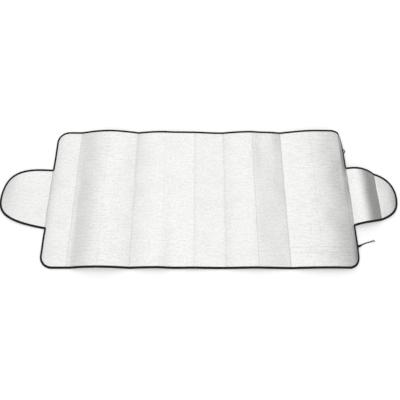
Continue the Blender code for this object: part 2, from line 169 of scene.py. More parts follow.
@dataclass(frozen=True)
class CutPattern:
    """Sizes of the shade laid flat, over its binding."""

    end_flap: float = 0.122
    strip_width: float = 0.145
    fold_count: int = 10
    lip: float = 0.023
    depth: float = 0.700
    corner_radius: float = 0.059
    sheet_thickness: float = 0.003
    tape_thickness: float = 0.0006
    tape_reach: float = 0.010
    clearance: float = 0.0003
    lip_ridge: tuple[float, float, float] = (0.158, 0.110, 0.062)
    lip_fall: tuple[float, float, float] = (0.87, 0.20, 0.40)
    right_ear_fold: float = 0.612
    ear_end: float = 1.05
    left_ear: Ear = Ear(Side.LEFT, -0.0145, 0.303,
                        ((0.56, 1.045), (1.0, 0.88)), ((1.0, -0.53), (0.755, -0.805)))
    right_ear: Ear = Ear(Side.RIGHT, -0.0015, 0.297,
                         ((0.56, 0.93), (1.0, 0.69)), ((1.0, -0.62), (0.79, -0.845)))

    @property
    def length(self) -> float:
        """Length of the panel without its ears."""
        return self.end_flap + (self.fold_count - 1) * self.strip_width + self.lip

    @property
    def tape_growth(self) -> float:
        """How far the binding stands out past the cut edge."""
        return self.tape_thickness + self.clearance

    @property
    def half_length(self) -> float:
        """Distance of the panel's cut ends from its middle."""
        return self.length / 2 - self.tape_growth

    @property
    def half_depth(self) -> float:
        """Distance of the panel's cut long edges from its middle."""
        return self.depth / 2 - self.tape_growth

    def fold(self, number: float) -> float:
        """Flat place of a fold, counted from 0 at the left."""
        return self.end_flap - self.length / 2 + number * self.strip_width

    def panel_line(self, number: float, heights: tuple[float, float, float], soft_before: bool,
                   soft_after: bool) -> FoldLine:
        """A line across the panel, its heights given as shares of the width of a strip."""
        return FoldLine(self.fold(number), *(self.strip_width * share for share in heights),
                        soft_before, soft_after)

    def ear_line(self, ear: Ear, reach: float, heights: tuple[float, float, float],
                 soft_before: bool, soft_after: bool) -> FoldLine:
        """Lay a line across an ear.

        Args:
            ear: The ear.
            reach: Its distance past the ear's base, as a share of the ear's length.
            heights: Its three heights, as shares of the same.
            soft_before: Whether the sheet runs level into it.
            soft_after: Whether the sheet leaves it level.

        Returns:
            The line.
        """
        return FoldLine(ear.side.value * (self.half_length + ear.length * reach),
                        *(ear.length * share for share in heights), soft_before, soft_after,
                        ear.centre, ear.base / 2)

    def lip_line(self, distance: float) -> FoldLine:
        """Lay a line across the lip.

        Args:
            distance: Its distance past the last fold.

        Returns:
            The line.
        """
        heights = [self.strip_width * ridge - fall * distance
                   for ridge, fall in zip(self.lip_ridge, self.lip_fall)]
        return FoldLine(self.fold(self.fold_count - 1) + distance, *heights, False, False)

    def fold_lines(self) -> list[FoldLine]:
        """List the lines that the sheet is formed over.

        Returns:
            The lines, from the left ear's tip to the right ear's.
        """
        left, right = self.left_ear, self.right_ear
        flat = (0.0, 0.0, 0.0)
        low = (0.007, 0.007, 0.007)
        return [
            self.ear_line(left, self.ear_end, flat, False, False),
            self.ear_line(left, 0.716, (0.048, 0.030, 0.013), True, True),
            FoldLine(-self.half_length, *flat, True, False),
            self.panel_line(0, flat, False, False),
            self.panel_line(0.13, (0.031, 0.014, 0.007), False, False),
            self.panel_line(1.02, (0.166, 0.186, 0.190), True, True),
            self.panel_line(2, low, False, False),
            self.panel_line(2.85, (0.097, 0.097, 0.110), True, True),
            self.panel_line(3.38, (0.069, 0.048, 0.028), True, True),
            self.panel_line(4, (0.062, 0.055, 0.055), True, False),
            self.panel_line(5, low, True, False),
            self.panel_line(6, (0.110, 0.110, 0.090), True, False),
            self.panel_line(6.25, (0.073, 0.083, 0.068), False, False),
            self.panel_line(6.70, (0.051, 0.039, 0.029), False, False),
            self.panel_line(7, low, False, False),
            self.panel_line(8.25, (0.193, 0.172, 0.131), True, True),
            self.lip_line(0.0),
            self.lip_line(self.lip - self.tape_reach - self.clearance),
            self.lip_line(self.lip - self.tape_growth),
            self.ear_line(right, 0.247, (0.126, 0.130, 0.126), True, True),
            self.ear_line(right, self.right_ear_fold, (0.013, 0.013, 0.013), False, False),
            self.ear_line(right, 0.846, (0.022, 0.026, 0.022), True, True),
            self.ear_line(right, self.ear_end, flat, False, False),
        ]

    def outline(self, corner_steps: int, ear_steps: int) -> np.ndarray:
        """Trace the sheet's cut edge, counter-clockwise seen from above.

        Args:
            corner_steps: Parts that each rounded corner is split into.
            ear_steps: Points on each of an ear's two curves.

        Returns:
            Points of the closed edge, one row each.
        """
        corners = [Vector((x * self.half_length, y * self.half_depth))
                   for x, y in ((-1, 1), (-1, -1), (1, -1), (1, 1))]
        right = self.right_ear.outline(self.half_length, ear_steps)
        left = self.left_ear.outline(self.half_length, ear_steps)[::-1]
        small = self.right_ear.corner_radius
        edge = []
        for ear, (before, start, end, after) in ((right, corners),
                                                 (left, corners[2:] + corners[:2])):
            edge += arc(before, start, end, self.corner_radius, corner_steps)
            edge += arc(start, end, after, self.corner_radius, corner_steps)
            edge += arc(end, ear[0], ear[1], small, corner_steps) + ear[1:-1]
            edge += arc(ear[-2], ear[-1], after, small, corner_steps)
        return np.array([tuple(point) for point in edge])

    def cut_area(self) -> float:
        """Area of the sheet laid flat."""
        x, y = self.outline(corner_steps=16, ear_steps=40).T
        return float(abs(np.dot(x, np.roll(y, -1)) - np.dot(y, np.roll(x, -1))) / 2)


def cubic(start: Vector, handle_a: Vector, handle_b: Vector, end: Vector,
          steps: int) -> list[Vector]:
    """Points along a cubic curve.

    Args:
        start: Its first point.
        handle_a: Handle of the first point.
        handle_b: Handle of the last point.
        end: Its last point.
        steps: Parts that it is split into.

    Returns:
        The points, with the first included and the last left out.
    """
    points = []
    for step in range(steps):
        f = step / steps
        g = 1 - f
        points.append(start * g ** 3 + handle_a * 3 * g * g * f + handle_b * 3 * g * f * f
                      + end * f ** 3)
    return points


def arc(before: Vector, corner: Vector, after: Vector, radius: float, steps: int) -> list[Vector]:
    """Round a corner between two straight edges.

    Args:
        before: A point on the edge that runs into the corner.
        corner: The sharp corner.
        after: A point on the edge that leaves it.
        radius: Radius of the rounding.
        steps: Parts that the arc is split into.

    Returns:
        Points from the arc's start to its end.
    """
    to_before = (before - corner).normalized()
    to_after = (after - corner).normalized()
    half_angle = to_before.angle(to_after) / 2
    setback = radius / math.tan(half_angle)
    centre = corner + (to_before + to_after).normalized() * radius / math.sin(half_angle)
    start = corner + to_before * setback - centre
    end = corner + to_after * setback - centre
    sweep = start.angle_signed(end)
    points = []
    for step in range(steps + 1):
        turn = -sweep * step / steps
        cos_turn, sin_turn = math.cos(turn), math.sin(turn)
        points.append(centre + Vector((start.x * cos_turn - start.y * sin_turn,
                                       start.x * sin_turn + start.y * cos_turn)))
    return points


def ease(share: np.ndarray, soft_start: bool, soft_end: bool) -> np.ndarray:
    """Share of the rise between two fold lines.

    Args:
        share: Share of the way between them.
        soft_start: Whether the sheet leaves the first line level.
        soft_end: Whether it runs level into the second.

    Returns:
        A share for each given one.
    """
    if soft_start and soft_end:
        return (1 - np.cos(np.pi * share)) / 2
    if soft_start:
        return 1 - np.cos(np.pi / 2 * share)
    if soft_end:
        return np.sin(np.pi / 2 * share)
    return share


# Forming the flat sheet over its folds
@dataclass
class Ripples:
    """Shallow waves that the foil keeps from lying folded, made of a few crossing wave trains."""

    height: float = 0.0004
    across_waves: tuple[float, float] = (0.10, 0.40)
    lengthwise_waves: tuple[float, float] = (0.12, 0.50)
    trains: int = 18
    seed: int = 11

    def lift(self, along: np.ndarray, rows: np.ndarray) -> np.ndarray:
        """Height of the waves.

        Args:
            along: Stations along the sheet.
            rows: Rows across it.

        Returns:
            A height for every station (first index) and row (second index).
        """
        dice = np.random.default_rng(self.seed)
        field_height = np.zeros((len(along), len(rows)))
        for _ in range(self.trains):
            across = 2 * math.pi / dice.uniform(*self.across_waves)
            lengthwise = 2 * math.pi / dice.uniform(*self.lengthwise_waves) * dice.choice([-1, 1])
            phase = dice.uniform(0, 2 * math.pi)
            angle = lengthwise * along[:, None] + across * rows[None, :] + phase
            field_height += np.sin(angle)
        return self.height * field_height / math.sqrt(self.trains / 2)


@dataclass
class FormedSurface:
    """Carries places on the flat sheet to their places on the laid-out, half-folded one.

    Past an ear's base, the panel's own slope takes over from the ear's between blend_start and
    blend_width beyond it. The fold numbered soft_fold is rounded more than the others, and the
    one numbered still_fold keeps its flat place while the rest draw in towards it.
    """

    pattern: CutPattern
    ripples: Ripples
    along_step: float = 0.001
    row_step: float = 0.0025
    spare_rows: int = 4
    still_fold: int = 4
    kernel_edge: float = 0.95
    fold_radius: float = 0.004
    soft_fold: int = 0
    soft_radius: float = 0.016
    blend_start: float = 0.006
    blend_width: float = 0.010
    shift: np.ndarray = field(default_factory=lambda: np.zeros(3))

    def __post_init__(self) -> None:
        """Lay out the grid of the sheet's middle and find its places and normals."""
        lines = self.pattern.fold_lines()
        first, last = lines[0].place, lines[-1].place
        self.stations = np.linspace(first, last, round((last - first) / self.along_step) + 1)
        reach = self.pattern.depth / 2 + self.spare_rows * self.row_step
        self.rows = np.linspace(-reach, reach, round(2 * reach / self.row_step) + 1)
        sharp = self.folded_heights(lines)
        heights = self.rounded(sharp, self.fold_radius)
        past = np.abs(self.stations - self.pattern.fold(self.soft_fold)) / self.soft_radius
        softness = np.clip(2 - past / 2, 0, 1)[:, None]
        heights += (self.rounded(sharp, self.soft_radius) - heights) * softness
        heights += self.ripples.lift(self.stations, self.rows)
        run = np.sqrt(np.diff(self.stations)[:, None] ** 2 - np.diff(heights, axis=0) ** 2)
        along = np.concatenate([np.zeros((1, len(self.rows))), np.cumsum(run, axis=0)])
        still = self.pattern.fold(self.still_fold)
        pinned = int(np.argmin(np.abs(self.stations - still)))
        along += self.stations[pinned] - along[pinned]
        slope_x, row_x = np.gradient(along, self.stations, self.rows)
        slope_z, row_z = np.gradient(heights, self.stations, self.rows)
        normals = np.stack([-slope_z, slope_z * row_x - slope_x * row_z, slope_x], axis=-1)
        normals /= np.linalg.norm(normals, axis=-1, keepdims=True)
        self.grid = np.concatenate([along[..., None], heights[..., None], normals], axis=-1)

    def folded_heights(self, lines: list[FoldLine]) -> np.ndarray:
        """Heights of the sheet's middle before its folds are rounded.

        Args:
            lines: The fold lines, from left to right.

        Returns:
            A height for every station and row.
        """
        places = np.array([line.place for line in lines])
        line_heights = np.array([line.heights(self.rows) for line in lines])
        span = np.clip(np.searchsorted(places, self.stations) - 1, 0, len(lines) - 2)
        heights = np.empty((len(self.stations), len(self.rows)))
        for index, (line, following) in enumerate(zip(lines, lines[1:])):
            here = span == index
            share = (self.stations[here] - line.place) / (following.place - line.place)
            rise = ease(share, line.soft_after, following.soft_before)[:, None]
            heights[here] = line_heights[index] + (line_heights[index + 1]
                                                   - line_heights[index]) * rise
        for ear in (self.pattern.left_ear, self.pattern.right_ear):
            self.hold_panel_edge(heights, ear)
        return heights

    def hold_panel_edge(self, heights: np.ndarray, ear: Ear) -> None:
        """Carry the panel's own slope past its end on the rows beside an ear.

        Args:
            heights: The heights, which are changed in place.
            ear: The ear at that end.
        """
        side = ear.side.value
        edge = int(np.argmin(np.abs(self.stations - side * self.pattern.half_length)))
        inner = edge - 2 * side
        slope = (heights[edge] - heights[inner]) / (self.stations[edge] - self.stations[inner])
        past = np.abs(self.rows - ear.centre) - ear.base / 2 - self.blend_start
        share = np.clip(past / self.blend_width, 0, 1)
        weight = 1 - share * share * (3 - 2 * share)
        outer = slice(edge + 1, None) if side > 0 else slice(0, edge)
        straight = heights[edge] + slope * (self.stations[outer] - self.stations[edge])[:, None]
        heights[outer] = weight * heights[outer] + (1 - weight) * straight

    def rounded(self, heights: np.ndarray, radius: float) -> np.ndarray:
        """Round the folds to the bend that the foam takes.

        Args:
            heights: The sharp heights.
            radius: How far the rounding reaches on each side of a fold.

        Returns:
            The rounded heights.
        """
        reach = round(radius / self.along_step)
        span = np.linspace(-self.kernel_edge, self.kernel_edge, 2 * reach + 1)
        kernel = np.cos(span * math.pi / 2) ** 2
        kernel /= kernel.sum()
        padded = np.pad(heights, ((reach, reach), (0, 0)), mode="edge")
        return sum(weight * padded[offset:offset + len(heights)]
                   for offset, weight in enumerate(kernel))

    def points(self, flat: np.ndarray) -> np.ndarray:
        """Form flat places.

        Args:
            flat: Rows of a place along the sheet, a place across it and a height over its middle.

        Returns:
            The same places on the laid-out sheet.
        """
        u = (flat[:, 0] - self.stations[0]) / (self.stations[1] - self.stations[0])
        v = (flat[:, 1] - self.rows[0]) / (self.rows[1] - self.rows[0])
        i = np.clip(u.astype(int), 0, len(self.stations) - 2)
        j = np.clip(v.astype(int), 0, len(self.rows) - 2)
        fu, fv = (u - i)[:, None], (v - j)[:, None]
        value = ((1 - fu) * (1 - fv) * self.grid[i, j] + fu * (1 - fv) * self.grid[i + 1, j]
                 + (1 - fu) * fv * self.grid[i, j + 1] + fu * fv * self.grid[i + 1, j + 1])
        middle = np.stack([value[:, 0], flat[:, 1], value[:, 1]], axis=-1)
        return middle + value[:, 2:] * flat[:, 2:3] + self.shift

    def settle(self, flats: list[np.ndarray]) -> None:
        """Centre the formed places on X and Y and stand the lowest of them on the floor.

        Args:
            flats: Arrays of flat places that reach as far as the shade does.
        """
        places = np.concatenate([self.points(flat) for flat in flats])
        low, high = places.min(axis=0), places.max(axis=0)
        centre = (low + high) / 2
        self.shift = -np.array([centre[0], centre[1], low[2]])


# Meshes and objects
def make_mesh(name: str, points: np.ndarray, faces: list[tuple[int, ...]]) -> Mesh:
    """A mesh whose faces all point outwards.

    Args:
        name: Its name.
        points: Its points, one row each.
        faces: The points of each face.

    Returns:
        The mesh.
    """
    mesh = bpy.data.meshes.new(name)
    mesh.from_pydata([tuple(point) for point in points], [], faces)
    turner = bmesh.new()
    turner.from_mesh(mesh)
    bmesh.ops.recalc_face_normals(turner, faces=turner.faces[:])
    turner.to_mesh(mesh)
    turner.free()
    mesh.update()
    return mesh


def add_piece(name: str, mesh: Mesh, material: Material,
              smooth_degrees: float = 60.0) -> Object:
    """Place a finished mesh in the scene and let it ride on the shade.

    Args:
        name: The piece's name.
        mesh: Its mesh, in the row's frame.
        material: Its finish.
        smooth_degrees: Edges flatter than this are shaded smooth.

    Returns:
        The new object.
    """
    piece = bpy.data.objects.new(name, mesh)
    bpy.context.scene.collection.objects.link(piece)
    mesh.materials.append(material)
    mesh.shade_smooth()
    mesh.set_sharp_from_angle(angle=math.radians(smooth_degrees))
    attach(piece, BODY)
    return piece


def set_uv(mesh: Mesh, name: str, values: np.ndarray) -> None:
    """Give a mesh a UV map.

    Args:
        mesh: The mesh.
        name: The map's name.
        values: A pair of values for each vertex.
    """
    layer = mesh.uv_layers.new(name=name)
    corners = np.empty(len(mesh.loops), dtype=np.int32)
    mesh.loops.foreach_get("vertex_index", corners)
    layer.data.foreach_set("uv", values[corners].astype(np.float32).ravel())


def set_mask(mesh: Mesh, name: str, values: np.ndarray) -> None:
    """Give a mesh a named mask from one value for each vertex."""
    mask = mesh.attributes.new(name, "FLOAT", "POINT")
    mask.data.foreach_set("value", values.astype(np.float32))


def cut_uv(flat: np.ndarray) -> np.ndarray:
    """Places on the flat sheet as UV, with the panel's middle in the middle of the map."""
    return 0.5 + flat[:, :2] / CUT_MAP


# Shader nodes
class Nodes:
    """Adds nodes to one material or group and links them."""

    def __init__(self, tree: NodeTree) -> None:
        """Start on a tree."""
        self.tree = tree

    def add(self, kind: str, **settings: object) -> Node:
        """Add a node.

        Args:
            kind: Its type.
            settings: Its own settings, by name.

        Returns:
            The node.
        """
        node = self.tree.nodes.new(kind)
        for name, value in settings.items():
            setattr(node, name, value)
        return node

    def link(self, source: NodeSocket, target: NodeSocket) -> None:
        """Link an output to an input."""
        self.tree.links.new(source, target)

    def feed(self, target: NodeSocket, value: object) -> None:
        """Link a socket to an input, or set a plain value on it; a colour gets its alpha here.

        Args:
            target: The input.
            value: An output, a number, a vector or a colour.
        """
        if isinstance(value, NodeSocket):
            self.link(value, target)
        elif target.type == "RGBA":
            target.default_value = (*value, 1.0)
        else:
            target.default_value = value

    def fed(self, kind: str, values: tuple, **settings: object) -> NodeSocket:
        """Add a node and feed its first inputs.

        Args:
            kind: Its type.
            values: A value or an output for each input, in their order.
            settings: Its own settings, by name.

        Returns:
            Its first output.
        """
        node = self.add(kind, **settings)
        for target, value in zip(node.inputs, values):
            self.feed(target, value)
        return node.outputs[0]

    def math(self, operation: str, *values: object, clamp: bool = False) -> NodeSocket:
        """A maths node on sockets or numbers."""
        return self.fed("ShaderNodeMath", values, operation=operation, use_clamp=clamp)

    def vector(self, operation: str, *values: object) -> NodeSocket:
        """A vector maths node on sockets or vectors."""
        return self.fed("ShaderNodeVectorMath", values, operation=operation)

    def spread(self, value: object, low: float, high: float, to_low: float = 0.0,
               to_high: float = 1.0) -> NodeSocket:
        """Map one range smoothly to another and clamp it there.

        Args:
            value: A socket or a number.
            low: Value that becomes to_low.
            high: Value that becomes to_high.
            to_low: Start of the new range.
            to_high: End of the new range.

        Returns:
            The mapped value.
        """
        node = self.add("ShaderNodeMapRange", interpolation_type="SMOOTHSTEP")
        for name, number in (("From Min", low), ("From Max", high), ("To Min", to_low),
                             ("To Max", to_high)):
            node.inputs[name].default_value = number
        self.feed(node.inputs["Value"], value)
        return node.outputs["Result"]

    def mix(self, share: object, first: object, second: object) -> NodeSocket:
        """Mix two colours.

        Args:
            share: How much of the second there is.
            first: The first colour.
            second: The second colour.

        Returns:
            The mixed colour.
        """
        node = self.add("ShaderNodeMix", data_type="RGBA")
        self.feed(node.inputs[0], share)
        self.feed(node.inputs[6], first)
        self.feed(node.inputs[7], second)
        return node.outputs[2]

    def noise(self, place: object, scale: float, detail: float, rough: float = 0.5,
              tangle: float = 0.0) -> NodeSocket:
        """A noise between 0 and 1.

        Args:
            place: Where it is read.
            scale: How fine it is.
            detail: How many finer layers it has.
            rough: How strong each finer layer is.
            tangle: How far it is distorted.

        Returns:
            Its value.
        """
        node = self.add("ShaderNodeTexNoise")
        for name, number in (("Scale", scale), ("Detail", detail), ("Roughness", rough),
                             ("Distortion", tangle)):
            node.inputs[name].default_value = number
        self.feed(node.inputs["Vector"], place)
        return node.outputs["Fac"]

    def bump(self, height: object, depth: float, over: NodeSocket | None = None) -> NodeSocket:
        """Relief pressed into a surface.

        Args:
            height: Its height, from 0 to 1.
            depth: What a height of 1 stands for.
            over: Coarser relief that it lies on, if any.

        Returns:
            The normal.
        """
        node = self.add("ShaderNodeBump")
        node.inputs["Distance"].default_value = depth
        self.feed(node.inputs["Height"], height)
        if over is not None:
            self.link(over, node.inputs["Normal"])
        return node.outputs[0]

    def about(self, value: object, swing: float, middle: float) -> NodeSocket:
        """A value about a middle, which follows a noise that is itself about 0.5."""
        return self.math("MULTIPLY_ADD", value, swing, middle - swing / 2)

    def mask(self, name: str) -> NodeSocket:
        """One of the piece's own masks."""
        return self.add("ShaderNodeAttribute", attribute_name=name).outputs["Fac"]

    def solid_place(self) -> NodeSocket:
        """Places in the piece itself, in metres."""
        return self.add("ShaderNodeTexCoord").outputs["Object"]

    def group(self, tree: NodeTree, **inputs: object) -> Node:
        """Place a node group and feed its inputs.

        Args:
            tree: The group.
            inputs: A value or an output for each input, by name.

        Returns:
            The group's node.
        """
        node = self.add("ShaderNodeGroup", node_tree=tree)
        for name, value in inputs.items():
            self.feed(node.inputs[name], value)
        return node


def new_group(name: str, inputs: dict[str, float | None],
              outputs: tuple[str, ...]) -> tuple[NodeTree, Nodes, Node, Node]:
    """Start a node group.

    Args:
        name: The effect's name.
        inputs: Each input's name and its value, or None for a place.
        outputs: Names of the values that it puts out.

    Returns:
        The group, its node maker, its input node and its output node.
    """
    tree = bpy.data.node_groups.new(name, "ShaderNodeTree")
    for title, value in inputs.items():
        kind = "NodeSocketVector" if value is None else "NodeSocketFloat"
        socket = tree.interface.new_socket(title, in_out="INPUT", socket_type=kind)
        if value is not None:
            socket.default_value = value
    for title in outputs:
        tree.interface.new_socket(title, in_out="OUTPUT", socket_type="NodeSocketFloat")
    nodes = Nodes(tree)
    return tree, nodes, nodes.add("NodeGroupInput"), nodes.add("NodeGroupOutput")


class Effects:
    """The effects that several finishes share, each one node group built once."""

    def __init__(self) -> None:
        """Build every group."""
        self.grain = self.build_grain()
        self.weave = self.build_weave()
        self.wear = self.build_wear()
        self.dust = self.build_dust()

    @staticmethod
    def build_grain() -> NodeTree:
        """Fine grain with a coarser drift over it, both about 0.5.

        Returns:
            The group.
        """
        tree, nodes, given, result = new_group(
            "fine_grain", {"Place": None, "Size": 0.004, "Stretch": 1.0}, ("Grain", "Drift"))
        count = nodes.math("DIVIDE", 1.0, given.outputs["Size"])
        stretch = nodes.add("ShaderNodeCombineXYZ")
        nodes.link(nodes.math("DIVIDE", count, given.outputs["Stretch"]), stretch.inputs["X"])
        nodes.link(count, stretch.inputs["Y"])
        nodes.link(count, stretch.inputs["Z"])
        place = nodes.vector("MULTIPLY", given.outputs["Place"], stretch.outputs[0])
        nodes.link(nodes.noise(place, scale=1.0, detail=2.0, rough=0.55), result.inputs["Grain"])
        nodes.link(nodes.noise(place, scale=0.13, detail=3.0, rough=0.6), result.inputs["Drift"])
        return tree

    @staticmethod
    def build_weave() -> NodeTree:
        """A plain weave: threads that pass over and under one another.

        Returns:
            The group.
        """
        tree, nodes, given, result = new_group(
            "plain_weave", {"Place": None, "Pitch": 0.0005}, ("Height", "Gaps"))
        turn = nodes.math("DIVIDE", math.pi, given.outputs["Pitch"])
        split = nodes.add("ShaderNodeSeparateXYZ")
        nodes.link(given.outputs["Place"], split.inputs[0])
        across = nodes.math("SINE", nodes.math("MULTIPLY", split.outputs["X"], turn))
        along = nodes.math("SINE", nodes.math("MULTIPLY", split.outputs["Y"], turn))
        over = nodes.math("MULTIPLY", across, along)
        nodes.link(nodes.math("MULTIPLY_ADD", over, 0.5, 0.5), result.inputs["Height"])
        ridge = nodes.math("MAXIMUM", nodes.math("ABSOLUTE", across),
                           nodes.math("ABSOLUTE", along))
        nodes.link(nodes.spread(ridge, 0.25, 0.7, 1.0, 0.0), result.inputs["Gaps"])
        return tree

    @staticmethod
    def build_wear() -> NodeTree:
        """Patches of wear that keep to a mask, such as an edge or a fold.

        Returns:
            The group.
        """
        tree, nodes, given, result = new_group(
            "handled_wear", {"Place": None, "Mask": 0.0, "Size": 0.02, "Amount": 0.5}, ("Wear",))
        count = nodes.math("DIVIDE", 1.0, given.outputs["Size"])
        place = nodes.vector("SCALE", given.outputs["Place"])
        nodes.link(count, place.node.inputs["Scale"])
        patches = nodes.spread(nodes.noise(place, scale=1.0, detail=5.0, rough=0.62), 0.38, 0.66)
        worn = nodes.math("MULTIPLY", patches, given.outputs["Mask"])
        nodes.link(nodes.math("MULTIPLY", worn, given.outputs["Amount"], clamp=True),
                   result.inputs["Wear"])
        return tree

    @staticmethod
    def build_dust() -> NodeTree:
        """Thin settled dust: soft clouds with a few specks in them.

        Returns:
            The group.
        """
        tree, nodes, given, result = new_group(
            "settled_dust", {"Place": None, "Amount": 0.2}, ("Dust",))
        place = given.outputs["Place"]
        clouds = nodes.spread(nodes.noise(place, scale=9.0, detail=3.0, rough=0.6), 0.42, 0.72)
        specks = nodes.spread(nodes.noise(place, scale=420.0, detail=1.0), 0.66, 0.74)
        both = nodes.math("MAXIMUM", nodes.math("MULTIPLY", clouds, 0.55),
                          nodes.math("MULTIPLY", specks, 0.8))
        nodes.link(nodes.math("MULTIPLY", both, given.outputs["Amount"], clamp=True),
                   result.inputs["Dust"])
        return tree


def new_material(name: str, colour: Colour) -> tuple[Material, Nodes, Node]:
    """Start a material.

    Args:
        name: The finish's name.
        colour: Its plain colour.

    Returns:
        The material, its node maker and its Principled shader.
    """
    material = bpy.data.materials.new(name)
    material.use_nodes = True
    material.diffuse_color = (*colour, 1.0)
    return material, Nodes(material.node_tree), material.node_tree.nodes["Principled BSDF"]


@dataclass(frozen=True)
class FoilFinish:
    """Satin silver foil on foam, embossed all over and drawn into fine lines along the shade.

    The foil takes a darker tone where its grain, blotches and lines say so, and the same darker
    colour as painted shade in the grooves of its emboss. Its crease colour is painted shade along
    its creases and pressed marks, at the panel's two ends, at the left ear's tip and beside two
    folds, darkened further in patches there. A slack share is what the lines keep where the foil
    isn't drawn tight.
    """

    colour: Colour = (0.862, 0.870, 0.851)
    # A random darker tone, and painted shade in the emboss grooves
    mottle_and_groove_shade: Colour = (0.658, 0.668, 0.645)
    # Colour of the painted shade on creases, pressed marks and shade bands, and of darker patches
    # there
    crease: Colour = (0.400, 0.405, 0.395)
    dust: Colour = (0.60, 0.58, 0.54)
    metallic: float = 0.92
    roughness: float = 0.40
    emboss: float = 0.0040
    emboss_depth: float = 0.00008
    lattice: float = 0.0023
    lattice_depth: float = 0.00012
    groove_shade_share: float = 0.22
    blotch: float = 0.0095
    blotch_stretch: float = 1.3
    line_spacing: float = 0.0075
    line_stretch: float = 7.0
    line_depth: float = 0.00016
    shade_low: float = 0.34
    shade_high: float = 0.58
    blotch_high: float = 0.60
    shade_share: float = 0.34
    slack_shade: float = 0.4
    slack_relief: float = 0.25
    crease_shade_share: float = 0.60
    wear_size: float = 0.012
    wear_amount: float = 0.9
    dust_amount: float = 0.35
    dust_share: float = 0.35
    drift_roughness: float = 0.10
    dust_roughness: float = 0.25
    crease_roughness: float = 0.12
    dust_matting: float = 0.5

    def material(self, effects: Effects) -> Material:
        """Build the foil's material.

        Args:
            effects: The shared effects.

        Returns:
            The material, which follows the sheet's cut map.
        """
        material, nodes, shader = new_material("foil_sheet", self.colour)
        uv = nodes.add("ShaderNodeUVMap", uv_map="cut")
        centred = nodes.vector("ADD", uv.outputs[0], (-0.5, -0.5, 0.0))
        place = nodes.vector("MULTIPLY", centred, (CUT_MAP, CUT_MAP, CUT_MAP))
        grain = nodes.group(effects.grain, Place=place, Size=self.emboss)
        lattice = nodes.group(effects.weave, Place=place, Pitch=self.lattice)
        blotch = nodes.group(effects.grain, Place=place, Size=self.blotch,
                             Stretch=self.blotch_stretch)
        lines = nodes.group(effects.grain, Place=place, Size=self.line_spacing,
                            Stretch=self.line_stretch)
        # The crease mask holds painted shade: creases, pressed marks and the end and fold bands
        crease, tension = nodes.mask("crease"), nodes.mask("tension")
        dust = nodes.group(effects.dust, Place=place, Amount=self.dust_amount).outputs["Dust"]
        # Patchy extra darkening along the crease mask, over the painted shade too
        wear = nodes.group(effects.wear, Place=place, Mask=crease, Size=self.wear_size,
                           Amount=self.wear_amount)

        speckle, patches, streak = (
            nodes.spread(source.outputs["Grain"], self.shade_low, high, self.shade_share, 0.0)
            for source, high in ((grain, self.shade_high), (blotch, self.blotch_high),
                                 (lines, self.shade_high)))
        streak = nodes.math("MULTIPLY", streak, self.drawn(nodes, tension, self.slack_shade))
        # Painted shade in the grooves between the emboss lattice's bumps
        groove_shade = nodes.math("MULTIPLY", lattice.outputs["Gaps"], self.groove_shade_share)
        share = nodes.math("ADD", nodes.math("ADD", speckle, patches),
                           nodes.math("ADD", streak, groove_shade), clamp=True)
        base = nodes.mix(share, self.colour, self.mottle_and_groove_shade)
        # Painted shade of creases, marks and bands, with its darker patches, mixed in towards the
        # crease colour
        painted_shade_amount = nodes.math("MAXIMUM", nodes.math("MULTIPLY", crease, self.crease_shade_share),
                             wear.outputs["Wear"])
        base = nodes.mix(painted_shade_amount, base, self.crease)
        base = nodes.mix(nodes.math("MULTIPLY", dust, self.dust_share), base, self.dust)
        nodes.link(base, shader.inputs["Base Color"])

        rough = nodes.about(lines.outputs["Drift"], self.drift_roughness, self.roughness)
        rough = nodes.math("ADD", rough, nodes.math("MULTIPLY", dust, self.dust_roughness))
        rough = nodes.math("ADD", rough, nodes.math("MULTIPLY", painted_shade_amount, self.crease_roughness),
                           clamp=True)
        nodes.link(rough, shader.inputs["Roughness"])
        metal = nodes.math("SUBTRACT", self.metallic,
                           nodes.math("MULTIPLY", dust, self.dust_matting), clamp=True)
        nodes.link(metal, shader.inputs["Metallic"])

        strands = nodes.math("MULTIPLY", lines.outputs["Grain"],
                             self.drawn(nodes, tension, self.slack_relief))
        relief = nodes.bump(strands, self.line_depth)
        relief = nodes.bump(grain.outputs["Grain"], self.emboss_depth, relief)
        relief = nodes.bump(lattice.outputs["Height"], self.lattice_depth, relief)
        nodes.link(relief, shader.inputs["Normal"])
        return material

    @staticmethod
    def drawn(nodes: Nodes, tension: NodeSocket, slack: float) -> NodeSocket:
        """How strong the lines are: their slack share where the foil is loose, 1 where tight."""
        return nodes.math("MULTIPLY_ADD", tension, 1 - slack, slack)


